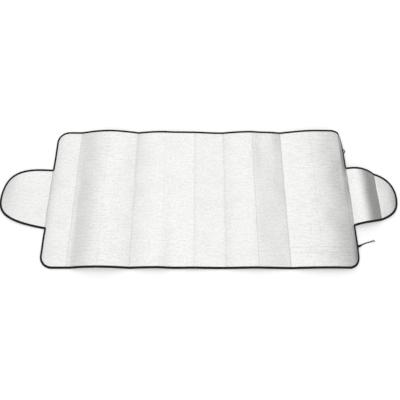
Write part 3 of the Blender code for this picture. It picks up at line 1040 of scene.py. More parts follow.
@dataclass(frozen=True)
class TapeFinish:
    """Matte black woven tape, a little greyer where hands have rubbed its edge."""

    colour: Colour = (0.003, 0.003, 0.0033)
    # Painted highlight on the weave's raised threads, and a random lighter drift
    crown_highlight_and_drift: Colour = (0.010, 0.010, 0.011)
    worn: Colour = (0.040, 0.039, 0.038)
    roughness: float = 0.78
    grain_roughness: float = 0.16
    specular: float = 0.2
    sheen: float = 0.03
    sheen_roughness: float = 0.5
    pitch: float = 0.00055
    weave_depth: float = 0.00012
    gap_depth: float = 0.4
    fuzz: float = 0.0011
    drift_share: float = 0.35
    wear_size: float = 0.03
    wear_amount: float = 0.8
    wear_share: float = 0.6
    dust_amount: float = 0.25

    def material(self, effects: Effects) -> Material:
        """Build the tape's material.

        Args:
            effects: The shared effects.

        Returns:
            The material, which follows the tape's own map.
        """
        material, nodes, shader = new_material("binding_tape", self.colour)
        uv = nodes.add("ShaderNodeUVMap", uv_map="tape")
        place = nodes.vector("MULTIPLY", uv.outputs[0], (TAPE_MAP, TAPE_MAP, TAPE_MAP))
        solid = nodes.solid_place()
        weave = nodes.group(effects.weave, Place=place, Pitch=self.pitch)
        grain = nodes.group(effects.grain, Place=solid, Size=self.fuzz)
        wear = nodes.group(effects.wear, Place=solid, Mask=nodes.mask("rubbed"),
                           Size=self.wear_size, Amount=self.wear_amount)
        dust = nodes.group(effects.dust, Place=solid, Amount=self.dust_amount)
        # Painted highlight on the weave's crowns, then a random lighter drift
        base = nodes.mix(weave.outputs["Height"], self.colour, self.crown_highlight_and_drift)
        base = nodes.mix(nodes.math("MULTIPLY", grain.outputs["Drift"], self.drift_share), base,
                         self.crown_highlight_and_drift)
        base = nodes.mix(nodes.math("MULTIPLY", wear.outputs["Wear"], self.wear_share), base,
                         self.worn)
        base = nodes.mix(nodes.math("MULTIPLY", dust.outputs["Dust"], BLACK_DUST_SHARE), base,
                         BLACK_DUST)
        nodes.link(base, shader.inputs["Base Color"])
        nodes.link(nodes.about(grain.outputs["Grain"], self.grain_roughness, self.roughness),
                   shader.inputs["Roughness"])
        shader.inputs["Sheen Weight"].default_value = self.sheen
        shader.inputs["Sheen Roughness"].default_value = self.sheen_roughness
        shader.inputs["Specular IOR Level"].default_value = self.specular
        height = nodes.math("SUBTRACT", weave.outputs["Height"],
                            nodes.math("MULTIPLY", weave.outputs["Gaps"], self.gap_depth))
        nodes.link(nodes.bump(height, self.weave_depth), shader.inputs["Normal"])
        return material


@dataclass(frozen=True)
class ThreadFinish:
    """Black polyester sewing thread with a low lustre."""

    colour: Colour = (0.006, 0.006, 0.007)
    # Painted highlight on the twist's slanting bands
    light: Colour = (0.022, 0.022, 0.024)
    roughness: float = 0.5
    grain_roughness: float = 0.2
    fuzz: float = 0.0006
    twist_scale: float = 900.0
    twist_distortion: float = 0.6
    twist_depth: float = 0.00005

    def material(self, effects: Effects) -> Material:
        """Build the thread's material.

        Args:
            effects: The shared effects.

        Returns:
            The material, with the thread's twist as slanting bands.
        """
        material, nodes, shader = new_material("sewing_thread", self.colour)
        solid = nodes.solid_place()
        twist = nodes.add("ShaderNodeTexWave", wave_type="BANDS", bands_direction="DIAGONAL")
        twist.inputs["Scale"].default_value = self.twist_scale
        twist.inputs["Distortion"].default_value = self.twist_distortion
        nodes.link(solid, twist.inputs["Vector"])
        grain = nodes.group(effects.grain, Place=solid, Size=self.fuzz).outputs["Grain"]
        # Painted highlight along the twist's bands, broken up by the grain
        share = nodes.math("MULTIPLY", twist.outputs["Fac"], grain)
        nodes.link(nodes.mix(share, self.colour, self.light), shader.inputs["Base Color"])
        nodes.link(nodes.about(grain, self.grain_roughness, self.roughness),
                   shader.inputs["Roughness"])
        nodes.link(nodes.bump(twist.outputs["Fac"], self.twist_depth), shader.inputs["Normal"])
        return material


@dataclass(frozen=True)
class ElasticFinish:
    """Round elastic in a braided black sleeve."""

    colour: Colour = (0.002, 0.002, 0.0022)
    # Painted highlight on the braid's raised strands
    braid_highlight: Colour = (0.007, 0.007, 0.0075)
    roughness: float = 0.80
    grain_roughness: float = 0.2
    specular: float = 0.15
    strands: int = 8
    twist_pitch: float = 0.0042
    strand_depth: float = 0.00015
    fuzz: float = 0.0008
    dust_amount: float = 0.3

    def material(self, effects: Effects) -> Material:
        """Build the elastic's material.

        Args:
            effects: The shared effects.

        Returns:
            The material; its map runs round the cord and along it.
        """
        material, nodes, shader = new_material("elastic_cord", self.colour)
        uv = nodes.add("ShaderNodeUVMap", uv_map="sleeve")
        split = nodes.add("ShaderNodeSeparateXYZ")
        nodes.link(uv.outputs[0], split.inputs[0])
        turn = 2 * math.pi
        around = nodes.math("MULTIPLY", split.outputs["X"], turn * self.strands / 2)
        along = nodes.math("MULTIPLY", split.outputs["Y"], turn / self.twist_pitch)
        right = nodes.math("SINE", nodes.math("ADD", around, along))
        left = nodes.math("SINE", nodes.math("SUBTRACT", around, along))
        braid = nodes.math("MULTIPLY_ADD", nodes.math("MULTIPLY", right, left), 0.5, 0.5)
        solid = nodes.solid_place()
        grain = nodes.group(effects.grain, Place=solid, Size=self.fuzz)
        dust = nodes.group(effects.dust, Place=solid, Amount=self.dust_amount)
        # Painted highlight on the braid's crowns
        base = nodes.mix(braid, self.colour, self.braid_highlight)
        base = nodes.mix(nodes.math("MULTIPLY", dust.outputs["Dust"], BLACK_DUST_SHARE), base,
                         BLACK_DUST)
        nodes.link(base, shader.inputs["Base Color"])
        nodes.link(nodes.about(grain.outputs["Grain"], self.grain_roughness, self.roughness),
                   shader.inputs["Roughness"])
        shader.inputs["Specular IOR Level"].default_value = self.specular
        nodes.link(nodes.bump(braid, self.strand_depth), shader.inputs["Normal"])
        return material


# The sheet
@dataclass(frozen=True)
class PressedMark:
    """A faint straight mark along the shade, from start to end at one row."""

    row: float
    start: float
    end: float
    strength: float


@dataclass(frozen=True)
class PaintedShadeBand:
    """Painted shade on the foil beside a line across the shade, with a fade on each side of it.

    far and near are its strengths at the panel's far and near edges.
    """

    place: float
    before: float
    after: float
    far: float
    near: float

    def mask(self, flat: np.ndarray, depth: float) -> np.ndarray:
        """Measure how much painted shade the band puts on each place.

        Args:
            flat: Flat places, one row each.
            depth: The panel's depth.

        Returns:
            A value for each.
        """
        past = flat[:, 0] - self.place
        fade = np.where(past < 0, self.before, self.after)
        share = np.clip(0.5 + flat[:, 1] / depth, 0, 1)
        strength = np.maximum(self.near + (self.far - self.near) * share, 0)
        return strength * np.exp(-np.abs(past) / fade)


@dataclass
class FoilSheet:
    """The foil-faced foam sheet, with its pressed folds and the marks that its loops left."""

    pattern: CutPattern
    surface: FormedSurface
    column_step: float = 0.0075
    row_step: float = 0.0085
    least_column: float = 0.002
    pressed_folds: tuple[int, ...] = (0, 2, 4, 5, 6, 7, 9)
    doubled_fold: int = 4
    doubled_gap: float = 0.009
    crease_reach: float = 0.0032
    crease_steps: tuple[float, ...] = (-1.0, -0.55, -0.25, 0.0, 0.25, 0.55, 1.0)
    crease_depth: float = 0.0007
    under_share: float = 0.6
    marks: tuple[PressedMark, ...] = (
        PressedMark(-0.252, 0.405, 0.800, 1.0),
        PressedMark(-0.277, 0.405, 0.800, 1.0),
        PressedMark(0.066, -0.105, 0.250, 0.7),
    )
    mark_depth: float = 0.0005
    # Share of the pressed marks' mask that is painted as shade
    mark_shade_share: float = 0.5
    mark_reach: float = 0.0022
    mark_fade: float = 0.02
    bound_depth: float = 0.0004
    bound_reach: float = 0.0095
    bound_slope: float = 1.25
    corner_reach: float = 0.030
    corner_offsets: tuple[float, ...] = (-0.005, -0.002, 0.001, 0.004, 0.007, 0.010, 0.013, 0.016)
    drawn_left: tuple[float, float] = (-0.46, 0.20)
    drawn_middle: tuple[float, float] = (0.35, 0.5)
    drawn_right: tuple[tuple[float, float], tuple[float, float]] = ((0.38, 0.12), (0.74, 0.03))
    # Painted shade at the panel's two ends, each as strength and fade, and in bands at the left
    # ear's tip and beside two folds
    left_end_shade: tuple[float, float] = (0.90, 0.016)
    right_end_shade: tuple[float, float] = (2.40, 0.010)
    painted_shade: tuple[PaintedShadeBand, ...] = (
        PaintedShadeBand(-0.954, 0.010, 0.035, 1.00, -0.30),
        PaintedShadeBand(-0.313, 0.004, 0.030, 0.34, 0.00),
        PaintedShadeBand(0.122, 0.006, 0.030, 0.26, 0.20),
    )

    def creases(self) -> list[tuple[float, Crease]]:
        """Find every pressed line across the sheet.

        Returns:
            Its flat place and its sharpness, from left to right.
        """
        pattern = self.pattern
        lines = [(pattern.fold(number),
                  Crease.PRESSED if number in self.pressed_folds else Crease.FAINT)
                 for number in range(pattern.fold_count)]
        lines.append((pattern.fold(self.doubled_fold) + self.doubled_gap, Crease.FAINT))
        lines.append((-pattern.half_length, Crease.SHARP))
        lines.append((pattern.half_length + pattern.right_ear.length * pattern.right_ear_fold,
                      Crease.SHARP))
        return sorted(lines, key=lambda line: line[0])

    def columns(self) -> list[float]:
        """Choose the places along the shade at which the flat sheet is split.

        Returns:
            The places, closer together beside its folds and where its ears begin.
        """
        near = {place + share * self.crease_reach for place, _ in self.creases()
                for share in self.crease_steps}
        near |= {side.value * (self.pattern.half_length - offset)
                 for side in Side for offset in self.corner_offsets}
        lines = self.pattern.fold_lines()
        first, last = lines[0].place, lines[-1].place
        count = round((last - first) / self.column_step)
        even = [first + (last - first) * step / count for step in range(1, count)]
        kept = {place for place in even
                if min(abs(place - other) for other in near) > self.least_column}
        return sorted(near | kept)

    def flat_mesh(self) -> tuple[np.ndarray, list[tuple[int, ...]]]:
        """Cut the sheet from one flat face and split it into columns and rows.

        Returns:
            Its flat places and its faces, counter-clockwise seen from above.
        """
        edge = self.pattern.outline(corner_steps=14, ear_steps=36)
        cutter = bmesh.new()
        cutter.faces.new([cutter.verts.new((x, y, 0)) for x, y in edge])
        for place in self.columns():
            self.split(cutter, (place, 0, 0), (1, 0, 0))
        depth = self.pattern.depth
        count = round(depth / self.row_step)
        for step in range(1, count):
            self.split(cutter, (0, depth * (step / count - 0.5), 0), (0, 1, 0))
        for ear in (self.pattern.left_ear, self.pattern.right_ear):
            base = ear.side.value * self.pattern.half_length
            for end in (-1, 1):
                for offset in self.corner_offsets:
                    row = ear.centre + end * (ear.base / 2 + offset)
                    self.split(cutter, (0, row, 0), (0, 1, 0), base - self.corner_reach,
                               base + self.corner_reach)
        for mark in self.marks:
            for row in np.linspace(mark.row - self.mark_reach, mark.row + self.mark_reach, 5):
                self.split(cutter, (0, row, 0), (0, 1, 0), mark.start, mark.end)
        bmesh.ops.remove_doubles(cutter, verts=cutter.verts[:], dist=10 * SLIVER)
        for face in cutter.faces:
            if face.normal.z < 0:
                face.normal_flip()
        cutter.verts.index_update()
        points = np.array([tuple(vertex.co) for vertex in cutter.verts])
        faces = [tuple(corner.index for corner in face.verts) for face in cutter.faces]
        cutter.free()
        return points, faces

    @staticmethod
    def split(cutter: bmesh.types.BMesh, point: tuple[float, ...], normal: tuple[float, ...],
              start: float = -math.inf, end: float = math.inf) -> None:
        """Split the flat sheet along a line.

        Args:
            cutter: The sheet.
            point: A point on the line.
            normal: The direction across it.
            start: Lowest place along the shade of the faces that it splits.
            end: Highest place of them.
        """
        faces = [face for face in cutter.faces
                 if all(start - SLIVER < corner.co.x < end + SLIVER for corner in face.verts)]
        edges = {edge for face in faces for edge in face.edges}
        corners = {corner for face in faces for corner in face.verts}
        bmesh.ops.bisect_plane(cutter, geom=list(corners) + list(edges) + faces, dist=SLIVER,
                               plane_co=point, plane_no=normal)

    def crease_mask(self, flat: np.ndarray) -> np.ndarray:
        """Measure how strongly each place is pressed by a fold.

        Args:
            flat: Flat places, one row each.

        Returns:
            A value for each, 1 where it is pressed most.
        """
        mask = np.zeros(len(flat))
        for place, crease in self.creases():
            distance = np.abs(flat[:, 0] - place) / self.crease_reach
            mask = np.maximum(mask, crease.value * np.clip(1 - distance, 0, 1) ** 1.5)
        return mask

    def mark_mask(self, flat: np.ndarray) -> np.ndarray:
        """Measure how strongly each place is pressed by the marks that run along the shade.

        Args:
            flat: Flat places, one row each.

        Returns:
            A value for each, 1 where it is pressed most.
        """
        mask = np.zeros(len(flat))
        for mark in self.marks:
            inside = np.minimum(flat[:, 0] - mark.start, mark.end - flat[:, 0])
            along = mark.strength * np.clip(inside / self.mark_fade, 0, 1)
            distance = np.abs(flat[:, 1] - mark.row) / self.mark_reach
            mask = np.maximum(mask, along * np.clip(1 - distance, 0, 1))
        return mask

    def bound_mask(self, flat: np.ndarray) -> np.ndarray:
        """Measure how far the tape presses the foam together.

        Args:
            flat: Flat places, one row each.

        Returns:
            A value for each, 1 at the cut edge and less inwards.
        """
        path = EdgePath(self.pattern)
        edge, _ = path.places(np.linspace(0, path.length, EDGE_SAMPLES, endpoint=False))
        tree = KDTree(len(edge))
        for index, (x, y) in enumerate(edge):
            tree.insert((x, y, 0.0), index)
        tree.balance()
        away = np.array([tree.find((x, y, 0.0))[2] for x, y in flat[:, :2]])
        return np.clip(self.bound_slope * (1 - away / self.bound_reach), 0, 1)

    def painted_shade_mask(self, flat: np.ndarray) -> np.ndarray:
        """Measure the painted shade at the panel's two ends, at the left ear's tip and beside two
        folds.

        Args:
            flat: Flat places, one row each.

        Returns:
            A value for each, 1 where the painted shade is darkest. The right ear's base gets none.
        """
        inwards = self.pattern.half_length - np.abs(flat[:, 0])
        right = self.pattern.right_ear
        beside = np.abs(flat[:, 1] - right.centre) > right.base / 2
        strength, fade = self.left_end_shade
        left_end = strength * np.exp(-inwards / fade) * (flat[:, 0] < 0)
        strength, fade = self.right_end_shade
        right_end = strength * np.exp(-inwards / fade) * (flat[:, 0] > 0) * beside
        bands = sum(band.mask(flat, self.pattern.depth) for band in self.painted_shade)
        return np.clip(np.where(inwards >= 0, left_end + right_end, 0.0) + bands, 0, 1)

    def tension(self, flat: np.ndarray) -> np.ndarray:
        """Measure how tightly the foil is drawn into lines.

        Args:
            flat: Flat places, one row each.

        Returns:
            A value for each, highest about the second fold and towards the right end.
        """
        along = flat[:, 0]
        (left_peak, left_fade), (start, rise), (end, fall) = self.drawn_left, *self.drawn_right
        left = np.clip(1 - np.abs(along - left_peak) / left_fade, 0, 1)
        right = np.clip((along - start) / rise, 0, 1) * np.clip((end - along) / fall, 0, 1)
        strength, fade = self.drawn_middle
        middle = strength * np.clip(1 - np.abs(along) / fade, 0, 1)
        return np.clip(left + right + middle, 0, 1)

    def build(self, material: Material) -> Object:
        """Form the sheet and give it its finish.

        Args:
            material: The foil.

        Returns:
            The sheet, which stands for its CAD solid.
        """
        flat, faces = self.flat_mesh()
        crease, mark = self.crease_mask(flat), self.mark_mask(flat)
        half = self.pattern.sheet_thickness / 2
        bound = self.bound_depth * self.bound_mask(flat)
        top, bottom = flat.copy(), flat.copy()
        top[:, 2] = half - bound - self.crease_depth * crease - self.mark_depth * mark
        bottom[:, 2] = bound + self.crease_depth * crease * self.under_share - half
        count = len(flat)
        solid = list(faces)
        solid += [tuple(index + count for index in reversed(face)) for face in faces]
        sides = [side for face in faces for side in zip(face, face[1:] + face[:1])]
        shared = set(sides)
        solid += [(end, start, start + count, end + count)
                  for start, end in sides if (end, start) not in shared]
        places = self.surface.points(np.concatenate([top, bottom]))
        mesh = make_mesh("foil_sheet", places, solid)
        both = np.concatenate([flat, flat])
        set_uv(mesh, "cut", cut_uv(both))
        # Painted shade on the top face: end and fold bands, creases and pressed marks; the
        # underside gets painted crease shade only
        painted_shade = np.maximum(self.painted_shade_mask(flat), np.maximum(crease, mark * self.mark_shade_share))
        set_mask(mesh, "crease", np.concatenate([painted_shade, crease]))
        set_mask(mesh, "tension", self.tension(both))
        sheet = add_piece("foil_sheet", mesh, material, smooth_degrees=50.0)
        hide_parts("shade_sheet")
        return sheet


# The binding and its stitches
@dataclass
class EdgePath:
    """The sheet's cut edge as a closed path that can be walked by distance.

    Its heading at a place is taken between the points heading_reach before and after it.
    """

    pattern: CutPattern
    heading_reach: float = 0.0012

    def __post_init__(self) -> None:
        """Measure the path."""
        edge = self.pattern.outline(corner_steps=24, ear_steps=60)
        self.corners = np.vstack([edge, edge[:1]])
        steps = np.linalg.norm(np.diff(self.corners, axis=0), axis=1)
        self.travelled = np.concatenate([[0], np.cumsum(steps)])

    @property
    def length(self) -> float:
        """Length of the path."""
        return float(self.travelled[-1])

    def places(self, distances: np.ndarray) -> tuple[np.ndarray, np.ndarray]:
        """Walk the path.

        Args:
            distances: How far round the path each place is.

        Returns:
            The places and, at each, the direction into the sheet.
        """
        def at(values: np.ndarray) -> np.ndarray:
            """Places on the path at the given distances, which may run past its end."""
            return np.stack([np.interp(values % self.length, self.travelled, corner)
                             for corner in self.corners.T], axis=-1)

        ahead = at(distances + self.heading_reach) - at(distances - self.heading_reach)
        ahead /= np.linalg.norm(ahead, axis=1, keepdims=True)
        return at(distances), np.stack([-ahead[:, 1], ahead[:, 0]], axis=-1)

    def nearest(self, place: Point2) -> float:
        """Distance round the path of the point on it that lies nearest to a flat place."""
        away = np.linalg.norm(self.corners - np.array(place), axis=1)
        return float(self.travelled[int(np.argmin(away))])


@dataclass
class EdgeBinding:
    """Woven tape folded over the cut edge, dimpled where its stitches pull it down."""

    pattern: CutPattern
    surface: FormedSurface
    path: EdgePath
    stitch_pitch: float = 0.0040
    stitch_inset: float = 0.0070
    end_reach: float = 0.88
    end_slack: float = 0.0005
    side_reach: float = 1.05
    fold_radius: float = 0.0019
    fold_width: float = 0.0020
    dimple: float = 0.00025
    slack_dimple: float = 0.35
    rub_reach: float = 0.0022
    wander: float = 0.00014
    wander_waves: int = 14
    wander_cycles: tuple[int, int] = (60, 420)
    wander_level: float = 5.0
    seed: int = 5
    corner_spread: float = 0.0065
    corner_rings: int = 21
    least_step: float = 0.0002

    def reach_share(self, places: np.ndarray, inwards: np.ndarray) -> np.ndarray:
        """Share of its reach that the tape has: less on the panel's ends than elsewhere.

        Args:
            places: Flat places on the cut edge.
            inwards: The direction into the sheet at each.

        Returns:
            A share for each.
        """
        at_end = np.abs(places[:, 0]) < self.pattern.half_length + self.end_slack
        turned = np.where(at_end, inwards[:, 0] ** 2, 0.0)
        return self.side_reach + (self.end_reach - self.side_reach) * turned

    def stitch_count(self) -> int:
        """Stitches in one row round the whole edge."""
        return round(self.path.length / self.stitch_pitch)

    def ring_distances(self) -> np.ndarray:
        """Choose where the tape's rings stand.

        Returns:
            Distances round the edge: at and between its stitches, and closer where ears begin.
        """
        count = 2 * self.stitch_count()
        distances = [np.arange(count) * self.path.length / count]
        spread = np.linspace(-self.corner_spread, self.corner_spread, self.corner_rings)
        for ear in (self.pattern.left_ear, self.pattern.right_ear):
            for end in (-1, 1):
                corner = (ear.side.value * self.pattern.half_length,
                          ear.centre + end * ear.base / 2)
                distances.append(self.path.nearest(corner) + spread)
        walked = np.unique(np.concatenate(distances) % self.path.length)
        steps = np.diff(walked, append=walked[0] + self.path.length)
        return walked[steps > self.least_step]

    def section(self) -> list[tuple[float, float, float]]:
        """Draw the folded tape's section.

        Returns:
            For each point, its place inwards from the cut edge, its height and its dimpling.
        """
        back = -self.pattern.tape_growth
        lip = self.pattern.tape_reach - self.pattern.tape_growth
        half = self.pattern.sheet_thickness / 2
        outer = half + self.pattern.tape_growth
        skin = half + 0.00012
        top = [(lip, skin + 0.00002, 0.0), (lip, skin + 0.00040, 0.1),
               (lip - 0.0004, outer - 0.00022, 0.3), (lip - 0.0013, outer - 0.00012, 0.8),
               (self.stitch_inset, outer - 0.00015, 1.0), (self.stitch_inset - 0.0011, outer, 0.6),
               (self.stitch_inset - 0.0024, outer, 0.1), (self.stitch_inset - 0.0044, outer, 0.0)]
        radius = self.fold_radius
        for step in range(7):
            angle = math.radians(15 * step)
            top.append((back + radius * (1 - math.sin(angle)),
                        outer - radius * (1 - math.cos(angle)), 0.0))
        under = [(place, -height, dip) for place, height, dip in reversed(top)]
        inside = -self.pattern.clearance / 2
        return top + under + [(inside, -skin, 0.0), (inside, skin, 0.0)]

    def extremes(self) -> list[np.ndarray]:
        """Find the flat places that reach furthest once the sheet is formed.

        Returns:
            Places on the tape's outer edge, and places under it.
        """
        edge, inwards = self.path.places(np.linspace(0, self.path.length, EDGE_SAMPLES))
        growth = self.pattern.tape_growth
        bottom = self.pattern.sheet_thickness / 2 + growth
        outside = np.column_stack([edge - inwards * growth, np.zeros(len(edge))])
        under = np.column_stack([edge + inwards * self.fold_width, np.full(len(edge), -bottom)])
        return [outside, under]

    def build(self, material: Material) -> Object:
        """Sweep the tape round the edge and form it with the sheet.

        Args:
            material: The tape's finish.

        Returns:
            The binding, which stands for its CAD solid.
        """
        section = np.array(self.section())
        walked = self.ring_distances()
        count = len(walked)
        places, inwards = self.path.places(walked)
        stitch_turn = 2 * math.pi * self.stitch_count() / self.path.length
        pull = 0.5 + 0.5 * np.cos(stitch_turn * walked)
        dice = np.random.default_rng(self.seed)
        drift = sum(np.sin(2 * math.pi * walked * cycles / self.path.length + phase)
                    for cycles, phase in zip(
                        dice.integers(*self.wander_cycles, self.wander_waves),
                        dice.uniform(0, 2 * math.pi, self.wander_waves))) / self.wander_level
        inset = section[None, :, 0] * self.reach_share(places, inwards)[:, None]
        inner_share = np.clip(section[:, 0] / section[0, 0], 0, 1) ** 2
        inset = inset + self.wander * drift[:, None] * inner_share[None, :]
        sign = np.sign(section[:, 1])
        pull = self.slack_dimple + (1 - self.slack_dimple) * pull
        dip = self.dimple * section[None, :, 2] * pull[:, None]
        height = section[None, :, 1] - sign[None, :] * dip
        flat = np.empty((count, len(section), 3))
        flat[..., 0] = places[:, None, 0] + inwards[:, None, 0] * inset
        flat[..., 1] = places[:, None, 1] + inwards[:, None, 1] * inset
        flat[..., 2] = height
        across = len(section)
        faces = [(ring * across + spot, (ring + 1) % count * across + spot,
                  (ring + 1) % count * across + (spot + 1) % across,
                  ring * across + (spot + 1) % across)
                 for ring in range(count) for spot in range(across)]
        mesh = make_mesh("binding_tape", self.surface.points(flat.reshape(-1, 3)), faces)
        girth = np.concatenate([[0], np.cumsum(np.linalg.norm(
            np.diff(section[:, :2], axis=0), axis=1))])
        uv = np.stack([np.repeat(walked, across), np.tile(girth, count)], axis=-1) / TAPE_MAP
        set_uv(mesh, "tape", uv)
        rubbed = np.clip(1 - (section[:, 0] - section[:, 0].min()) / self.rub_reach, 0, 1)
        set_mask(mesh, "rubbed", np.tile(rubbed, count))
        binding = add_piece("binding_tape", mesh, material, smooth_degrees=40.0)
        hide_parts("edge_binding")
        return binding


@dataclass
class Stitch:
    """One sewn stitch, modelled once along X and copied along a seam.

    length is the distance between its two holes, width the thread's thickness seen from above
    and height how far its crown stands over the tape. Past dive_start, a share of its length,
    its ends dive into the tape by dive_depth, a share of its height.
    """

    length: float
    width: float
    height: float
    fullness: float = 1.6
    dive_start: float = 0.38
    dive_depth: float = 0.75
    facets: int = 6

    def __post_init__(self) -> None:
        """Model the stitch: a thread that dives into the tape at both ends."""
        bpy.ops.object.select_all(action="DESELECT")
        bpy.ops.mesh.primitive_uv_sphere_add(segments=self.facets, ring_count=self.facets,
                                             radius=0.5, rotation=(0.0, math.pi / 2, 0.0))
        stitch = bpy.context.object
        bpy.ops.object.transform_apply(location=True, rotation=True, scale=True)
        bpy.ops.object.mode_set(mode="EDIT")
        bpy.ops.mesh.select_all(action="SELECT")
        bpy.ops.transform.resize(value=(self.length, self.width, self.height * self.fullness),
                                 center_override=(0.0, 0.0, 0.0))
        bpy.ops.object.mode_set(mode="OBJECT")
        for end in (-1, 1):
            self.dip_end(stitch, end)
        self.points = np.array([tuple(vertex.co) for vertex in stitch.data.vertices])
        self.faces = [tuple(face.vertices) for face in stitch.data.polygons]
        mesh = stitch.data
        bpy.data.objects.remove(stitch, do_unlink=True)
        bpy.data.meshes.remove(mesh)

    def dip_end(self, stitch: Object, end: int) -> None:
        """Move a stitch's end down into its hole.

        Args:
            stitch: The stitch.
            end: 1 for the end ahead, -1 for the other.
        """
        for vertex in stitch.data.vertices:
            vertex.select = vertex.co.x * end > self.dive_start * self.length
        bpy.ops.object.mode_set(mode="EDIT")
        bpy.ops.mesh.select_mode(type="VERT")
        bpy.ops.transform.translate(value=(0.0, 0.0, -self.dive_depth * self.height))
        bpy.ops.mesh.select_all(action="DESELECT")
        bpy.ops.object.mode_set(mode="OBJECT")


def sew(stitch: Stitch, surface: FormedSurface, places: np.ndarray, along: np.ndarray,
        face: Face, height: float, name: str) -> Mesh:
    """Copy a stitch along a seam and form the copies with the sheet.

    Args:
        stitch: The stitch.
        surface: The formed sheet.
        places: Flat place of each stitch's middle.
        along: Flat direction of each stitch.
        face: The face that they are sewn on.
        height: Height of their middles over the sheet's middle.
        name: Name of the new mesh.

    Returns:
        One mesh with all the stitches.
    """
    side = face.value
    across = np.stack([-along[:, 1], along[:, 0]], axis=-1)
    local = stitch.points
    flat = np.empty((len(places), len(local), 3))
    flat[..., :2] = (places[:, None, :] + along[:, None, :] * local[None, :, 0:1]
                     + across[:, None, :] * local[None, :, 1:2])
    flat[..., 2] = side * (height + local[None, :, 2])
    faces = [tuple(index + copy * len(local) for index in corners)
             for copy in range(len(places)) for corners in stitch.faces]
    return make_mesh(name, surface.points(flat.reshape(-1, 3)), faces)


@dataclass
class Seam:
    """The row of lockstitches that holds the tape, seen on both faces."""

    binding: EdgeBinding
    thread: float = 0.00042
    gap: float = 0.0009
    sunk: float = 0.0001745

    def build(self, face: Face, material: Material) -> Object:
        """Sew the row on one face.

        Args:
            face: The face that it shows on.
            material: The thread.

        Returns:
            The stitches as one piece.
        """
        binding = self.binding
        count = binding.stitch_count()
        pitch = binding.path.length / count
        walked = (np.arange(count) + 0.5) * pitch
        edge, inwards = binding.path.places(walked)
        ahead = np.stack([inwards[:, 1], -inwards[:, 0]], axis=-1)
        stitch = Stitch(pitch - self.gap, self.thread, self.thread)
        top = binding.pattern.sheet_thickness / 2 + binding.pattern.tape_growth
        height = top - self.sunk
        name = f"seam_{face.name.lower()}"
        inset = binding.stitch_inset * binding.reach_share(edge, inwards)[:, None]
        mesh = sew(stitch, binding.surface, edge + inwards * inset, ahead, face, height, name)
        return add_piece(name, mesh, material)


# The elastic loops
@dataclass(frozen=True)
class LoopRoute:
    """Where a loop goes: out from the edge, towards the far edge, and how high its middle lies.

    With no height given, the loop still runs straight out of the binding.
    """

    name: str
    node: str
    row: float
    tab_reach: float
    steps: tuple[tuple[float, float, float | None], ...]


